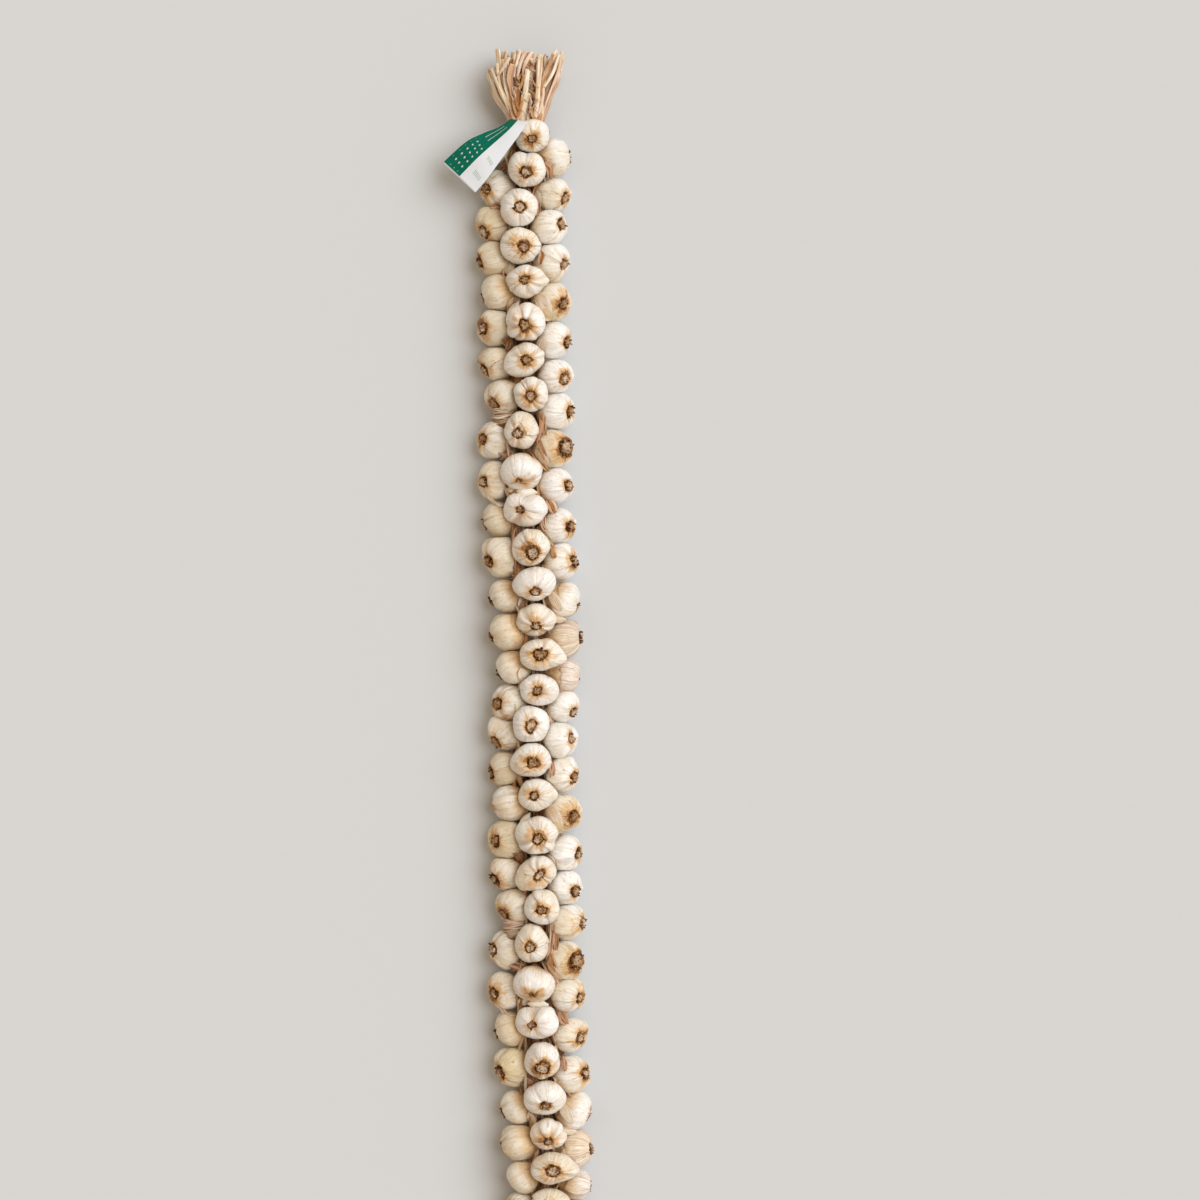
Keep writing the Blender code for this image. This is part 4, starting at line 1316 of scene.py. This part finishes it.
def tuft_stem(shape, rng, controls, width, thickness, curl, warmth, shade, bend=0.004):
    """A stem along its controls to its cut end. One that starts in the neck first comes up from below it."""
    controls = np.array(controls, float)
    loose = rng.normal(0, 1, controls.shape) * (bend, bend * 0.3, bend * 0.7)
    controls[1:-1] += loose[1:-1]
    if controls[0, 1] < TUFT_NECK_Y + 0.012:
        foot = controls[0]
        hidden = (foot[0] * 0.8 + 0.001, 0.006, min(foot[2] * 0.7, 0.030))
        controls = np.vstack((hidden, controls))
    path = spline(controls, TUFT_STEPS)
    outward = np.array((path[-1, 0] * 0.5, 0.0, path[-1, 2] - TUFT_NECK[1] + 0.006))
    upward = unit(unit(outward) + rng.normal(0, 0.30, 3))
    share = np.linspace(0, 1, TUFT_STEPS)
    uneven = 1 + 0.10 * np.sin(share * rng.uniform(9, 19) + rng.uniform(0, 6))
    widths = width * (0.70 + 0.30 * smoothstep(0.1, 0.7, share)) * uneven
    look = np.empty((TUFT_STEPS, 1, 4))
    look[..., :3] = (rng.uniform(), warmth, shade)
    look[..., 3] = smoothstep(0.985, 1.0, share)[:, None]
    curls = curl * (0.4 + 0.6 * share) + 0.12 * np.sin(share * 9 + rng.uniform(0, 6))
    flat_stem(shape, path, widths, thickness * uneven, upward, look, curls, TUFT_SIDES)


def curled_strip(shape, rng, centre, length):
    """A narrow strip of dry sheath, rolled up like a shaving."""
    radius = rng.uniform(0.0024, 0.0038)
    turns = np.linspace(0, length / radius, TUFT_STEPS) + rng.uniform(0, math.tau)
    lean = rng.uniform(-0.5, 0.5)
    along = np.array((math.sin(lean), math.cos(lean), 0.2))
    side = unit(np.cross(along, (0.0, 0.0, 1.0)))
    up = np.cross(side, unit(along))
    away = side * np.cos(turns)[:, None] + up * np.sin(turns)[:, None]
    path = centre + away * radius + along * np.linspace(-0.5, 0.5, TUFT_STEPS)[:, None] * length * 0.8
    widths = rng.uniform(0.0035, 0.0055) * spindle(0.5, 0.4, TUFT_STEPS)
    look = straw_look(rng, (0.5, 0.9), (0.0, 0.3))
    flat_stem(shape, path, widths, CURL_THICKNESS, away, look, 0.1, TUFT_SIDES)


def fray(shape, rng):
    """A thin torn fibre of dry leaf lying loose over the front of the tuft."""
    off, y = rng.uniform(FRAYS_FROM, FRAYS_TO) - (FRAYS_MIDDLE, 0)
    # the tuft is narrower at its neck, and its stems lean out to both sides
    off *= np.interp(y, (FRAYS_FROM[1], FRAYS_TO[1]), (0.55, 1.15))
    lean = rng.normal(0.0, 0.55) + off * 9
    share = rng.uniform(0.006, 0.015) * np.linspace(-1, 1, 5)
    off = off + math.sin(lean) * share
    y = y + math.cos(lean) * share
    lift = np.interp(y, (0.03, 0.06, 0.12), (-0.006, 0.002, 0.001)) - 6 * off**2
    path = grid_of(FRAYS_MIDDLE + off, y, FRAYS_HEIGHT + lift)
    path += rng.normal(0, (0.0014, 0.0006, 0.0012), (5, 3))
    widths = rng.uniform(0.0010, 0.0026) * spindle(0.3, 0.3, STRAND_STEPS)
    look = (rng.uniform(0.5, 1.0), rng.choice((-0.3, 0.3, 1.0)), rng.choice((0.0, 0.15, 0.4)), 0.0)
    flat_stem(shape, spline(path, STRAND_STEPS), widths, CURL_THICKNESS, roughly_up(rng, 0.4), look, 0.2)


def make_tuft():
    """The cut stems above the first bulb, close together in the neck and fanned out at the top."""
    rng = np.random.default_rng(21)
    layers = {name: Shape() for name in ("tuft_back", "tuft_middle", "tuft_front")}
    for number in range(TUFT_STEMS):
        # spread evenly over a disc by the golden angle
        out = math.sqrt((number + 0.5) / TUFT_STEMS)
        turn = number * GOLDEN_ANGLE
        across = out * math.cos(turn)
        front = out * math.sin(turn)
        foot = np.array((
            TUFT_NECK[0] + across * TUFT_NECK_HALF[0],
            TUFT_NECK_Y + rng.normal(0, 0.002),
            TUFT_NECK[1] + front * TUFT_NECK_HALF[1],
        ))
        across = float(np.clip(across + rng.normal(0, 0.14), -1.0, 1.0))
        height = np.interp(across, TUFT_PLACES, TUFT_HEIGHTS) + rng.uniform(-0.014, 0.004)
        height -= 0.014 * max(0.0, front) * rng.uniform(0, 1)
        top = np.array((
            TUFT_TOP[0] + across * TUFT_TOP_HALF[0],
            height,
            TUFT_TOP[1] + front * TUFT_TOP_HALF[1] * rng.uniform(0.75, 1.0),
        ))
        # the stems leave the neck together and spread higher up
        rise = top - foot
        controls = (foot, foot + rise * (0.27, 0.33, 0.26), foot + rise * (0.62, 0.67, 0.64), top)
        name = "tuft_middle" if front < TUFT_FRONT else "tuft_front"
        if front < TUFT_BACK:
            name = "tuft_back"
        warmth = rng.choice(TUFT_WARMTHS, p=TUFT_ODDS)
        # painted shade: stems further back in the tuft and nearer its middle are darker
        shade = 0.70 * smoothstep(0.60, -0.1, front) * (1 - out**3) + rng.uniform(0, 0.12)
        section = (rng.uniform(*TUFT_WIDTH), rng.uniform(*TUFT_THICKNESS), rng.uniform(-0.1, 0.4))
        tuft_stem(layers[name], rng, controls, *section, warmth, shade)
    front = layers["tuft_front"]
    for course, width, thickness, *looks in FRONT_STEMS:
        tuft_stem(front, rng, np.array(course) / 1000, width / 1000, thickness / 1000, *looks, bend=0.0012)
    for course, width in LOOPS:
        path = spline(np.array(course) / 1000, TUFT_STEPS)
        look = (rng.uniform(), rng.uniform(0.7, 1.0), 0.0, 0.0)
        flat_stem(front, path, width / 1000, 0.0022, (0.1, -0.2, 1.0), look, 0.2, TUFT_SIDES)
    for place_of, length in CURLS:
        curled_strip(front, rng, np.array(place_of) / 1000, length / 1000)
    for _ in range(FRAYS):
        fray(front, rng)
    for name, shape in layers.items():
        shape.build(name, (STRAW,), "stem_straw", "tuft")


make_tuft()

# ---- the tag

TAG_THICKNESS = 0.0004
TAG_STEPS = 48
TAG_SWELL = 0.0060  # how far its middle stands out between its two edges
TAG_RIPPLE = 0.0010
# The tag's edges, from its root in the neck of the tuft to its free end.
TAG_UPPER = (
    (-0.0180, 0.0290, 0.0480),
    (-0.0340, 0.0180, 0.0540),
    (-0.0540, 0.0110, 0.0545),
    (-0.0790, -0.0005, 0.0515),
    (-0.1120, -0.0270, 0.0410),
)
TAG_LOWER = (
    (0.0045, 0.0215, 0.0720),
    (-0.0070, 0.0020, 0.0765),
    (-0.0300, -0.0270, 0.0685),
    (-0.0510, -0.0530, 0.0610),
    (-0.0675, -0.0700, 0.0510),
)


# Parts of the tag that are printed, as shares of it along from the neck and across from the upper edge.
DIAMONDS = ((0.60, 0.96), (0.07, 0.44))
LINES = (((0.20, 0.52), (0.16, 0.175)), ((0.20, 0.52), (0.30, 0.315)))
BARS = (0.66, 0.88)
BAR_COLUMNS = ((0.80, 0.86), (0.60, 0.64))
TAG_GREENS = ((0.004, 0.145, 0.096), (0.006, 0.190, 0.126))
TAG_WHITES = ((0.84, 0.90, 0.97), (0.87, 0.93, 1.0))
TAG_PALE = (0.70, 0.78, 0.74)
TAG_GREY = (0.20, 0.34, 0.30)
SHARP = 0.004  # half the width of a printed edge, as a share of the tag
SOFT = 0.01


def tag_print():
    """The tag's printed card: green above and white below, with a plain pattern of small shapes.

    mark is (share along from the neck, share across from the upper edge, 0).
    """
    nodes = Nodes("tag_print", 0.45, 0.06)
    mark, _ = nodes.attribute("mark")
    along, across, _ = nodes.split(mark)
    grain = nodes.noise(mark, (30.0, 18.0, 1.0))
    green, white = (nodes.mix(nodes.ramp(grain, 0.35, 0.7), *pair) for pair in (TAG_GREENS, TAG_WHITES))

    def inside(value, ends, soft=SHARP):
        """1 where the value is between the two ends, with soft edges."""
        rise, fall = ((end - soft, end + soft) for end in ends)
        return nodes.times(nodes.ramp(value, *rise), nodes.ramp(value, *fall, 1.0, 0.0))

    def repeated(value, count):
        """The distance from the middle of the nearest of this many steps over the tag."""
        return nodes.off(nodes.math("FRACT", nodes.sum((value, count), 0.0)), 0.5)

    def either(one, other):
        return nodes.math("MAXIMUM", one, other)

    # small white diamonds in straight rows over the outer half of the green, and two lines further in
    diamonds = nodes.ramp(nodes.sum(repeated(along, 15.0), repeated(across, 9.0)), 0.17, 0.23, 1.0, 0.0)
    rows = nodes.times(inside(along, DIAMONDS[0], SOFT), inside(across, DIAMONDS[1], SOFT))
    lines = (nodes.times(inside(across, where), inside(along, length)) for length, where in LINES)
    green = nodes.mix(either(nodes.times(diamonds, rows), either(*lines)), green, TAG_PALE)
    # short grey-green bars in two columns on the white
    bars = nodes.ramp(repeated(across, 26.0), 0.16, 0.2, 1.0, 0.0)
    bars = nodes.times(bars, inside(across, BARS, SOFT))
    columns = nodes.times(either(*(inside(along, ends) for ends in BAR_COLUMNS)), 0.8)
    nodes.colour = nodes.mix(nodes.times(bars, columns), white, TAG_GREY)
    # the green ends a little short of the card's edges
    past_border = nodes.math("SUBTRACT", nodes.sum((along, 0.03), 0.475), across)
    printed = nodes.times(nodes.ramp(past_border, -SHARP, SHARP), nodes.ramp(along, 0.982, 0.986, 1.0, 0.0))
    nodes.coat(nodes.times(printed, nodes.ramp(across, 0.012, 0.018)), green)
    return nodes.finish(grain, 0.15, 0.0004)


def make_tag():
    """The printed card, curved over the first bulbs with its root in the neck of the tuft."""
    share = np.linspace(0, 1, TAG_STEPS)
    upper = spline(TAG_UPPER, TAG_STEPS)[:, None]
    lower = spline(TAG_LOWER, TAG_STEPS)[:, None]
    across = np.linspace(0, 1, TAG_STEPS // 2)[None, :, None]
    points = upper + (lower - upper) * across
    swell = TAG_SWELL * np.sin(math.pi * across) * smoothstep(-0.2, 0.4, share)[:, None, None]
    points[..., 2:] += swell + TAG_RIPPLE * np.sin(9 * share[:, None, None] + 4 * across)
    mark = grid_of(share[:, None], across[..., 0], 0.0)
    shape = Shape()
    shape.add_sheet(points, TAG_THICKNESS, mark, (0.0, 0.0, 0.0, 0.0))
    shape.build("tag_card", (tag_print(),), "tag_paper", "tag")


make_tag()

# ---- floor, light and camera

FLOOR_HALF = 6.0
FLOOR_COLOUR = (0.651, 0.675, 0.696)
PICTURE_WIDTH = 1.62  # what the picture shows across, at the height of the bulbs
PICTURE_HEIGHT = 0.05
CAMERA_DISTANCE = 4.5
CAMERA_OVER = (0.0890, -0.6231)  # from the braid's axis at the foot of the tuft
CAMERA_TURN = -1.255
CAMERA_SEES = 50.0  # how far away it still sees things
SENSOR = 36.0
SKY_COLOUR = (1.0, 0.81, 0.61, 1.0)
SKY_STRENGTH = 0.52
SUN_COLOUR = (0.95, 1.0, 1.05)
SUN_STRENGTH = 2.3
SUN_WIDTH = 52  # in degrees, which makes its shadows soft
SUN_WAY = (-0.68, -0.28, -0.90)  # from the upper right, down to the lower left


def make_floor():
    """The plain floor that the braid lies on."""
    mesh = bpy.data.meshes.new("floor")
    h = FLOOR_HALF
    mesh.from_pydata([(-h, -h, 0), (h, -h, 0), (h, h, 0), (-h, h, 0)], [], [(0, 1, 2, 3)])
    nodes = Nodes("floor", 0.9, 0.1)
    nodes.colour = FLOOR_COLOUR
    mesh.materials.append(nodes.finish())
    floor = bpy.data.objects.new("floor", mesh)
    bpy.context.scene.collection.objects.link(floor)


def make_light():
    """A bright sky, and a wide soft sun."""
    world = bpy.data.worlds.new("world")
    world.use_nodes = True
    sky = world.node_tree.nodes["Background"].inputs
    sky["Color"].default_value = SKY_COLOUR
    sky["Strength"].default_value = SKY_STRENGTH
    bpy.context.scene.world = world
    sun = bpy.data.lights.new("key", "SUN")
    sun.energy = SUN_STRENGTH
    sun.angle = math.radians(SUN_WIDTH)
    sun.color = SUN_COLOUR
    lamp = bpy.data.objects.new("key", sun)
    lamp.rotation_euler = Vector(SUN_WAY).to_track_quat("-Z", "Y").to_euler()
    bpy.context.scene.collection.objects.link(lamp)


def make_camera():
    """A camera straight above, whose picture shows a given width at the height of the bulbs."""
    lens = bpy.data.cameras.new("camera")
    lens.type = "PERSP"
    lens.sensor_width = SENSOR
    lens.lens = SENSOR * CAMERA_DISTANCE / PICTURE_WIDTH
    lens.clip_end = CAMERA_SEES
    camera = bpy.data.objects.new("camera", lens)
    camera.location = SHIFT + Vector((*CAMERA_OVER, PICTURE_HEIGHT + CAMERA_DISTANCE))
    camera.rotation_euler = (0.0, 0.0, math.radians(CAMERA_TURN))
    bpy.context.scene.collection.objects.link(camera)
    bpy.context.scene.camera = camera


make_floor()
make_light()
make_camera()
bpy.context.scene.view_settings.view_transform = "Standard"
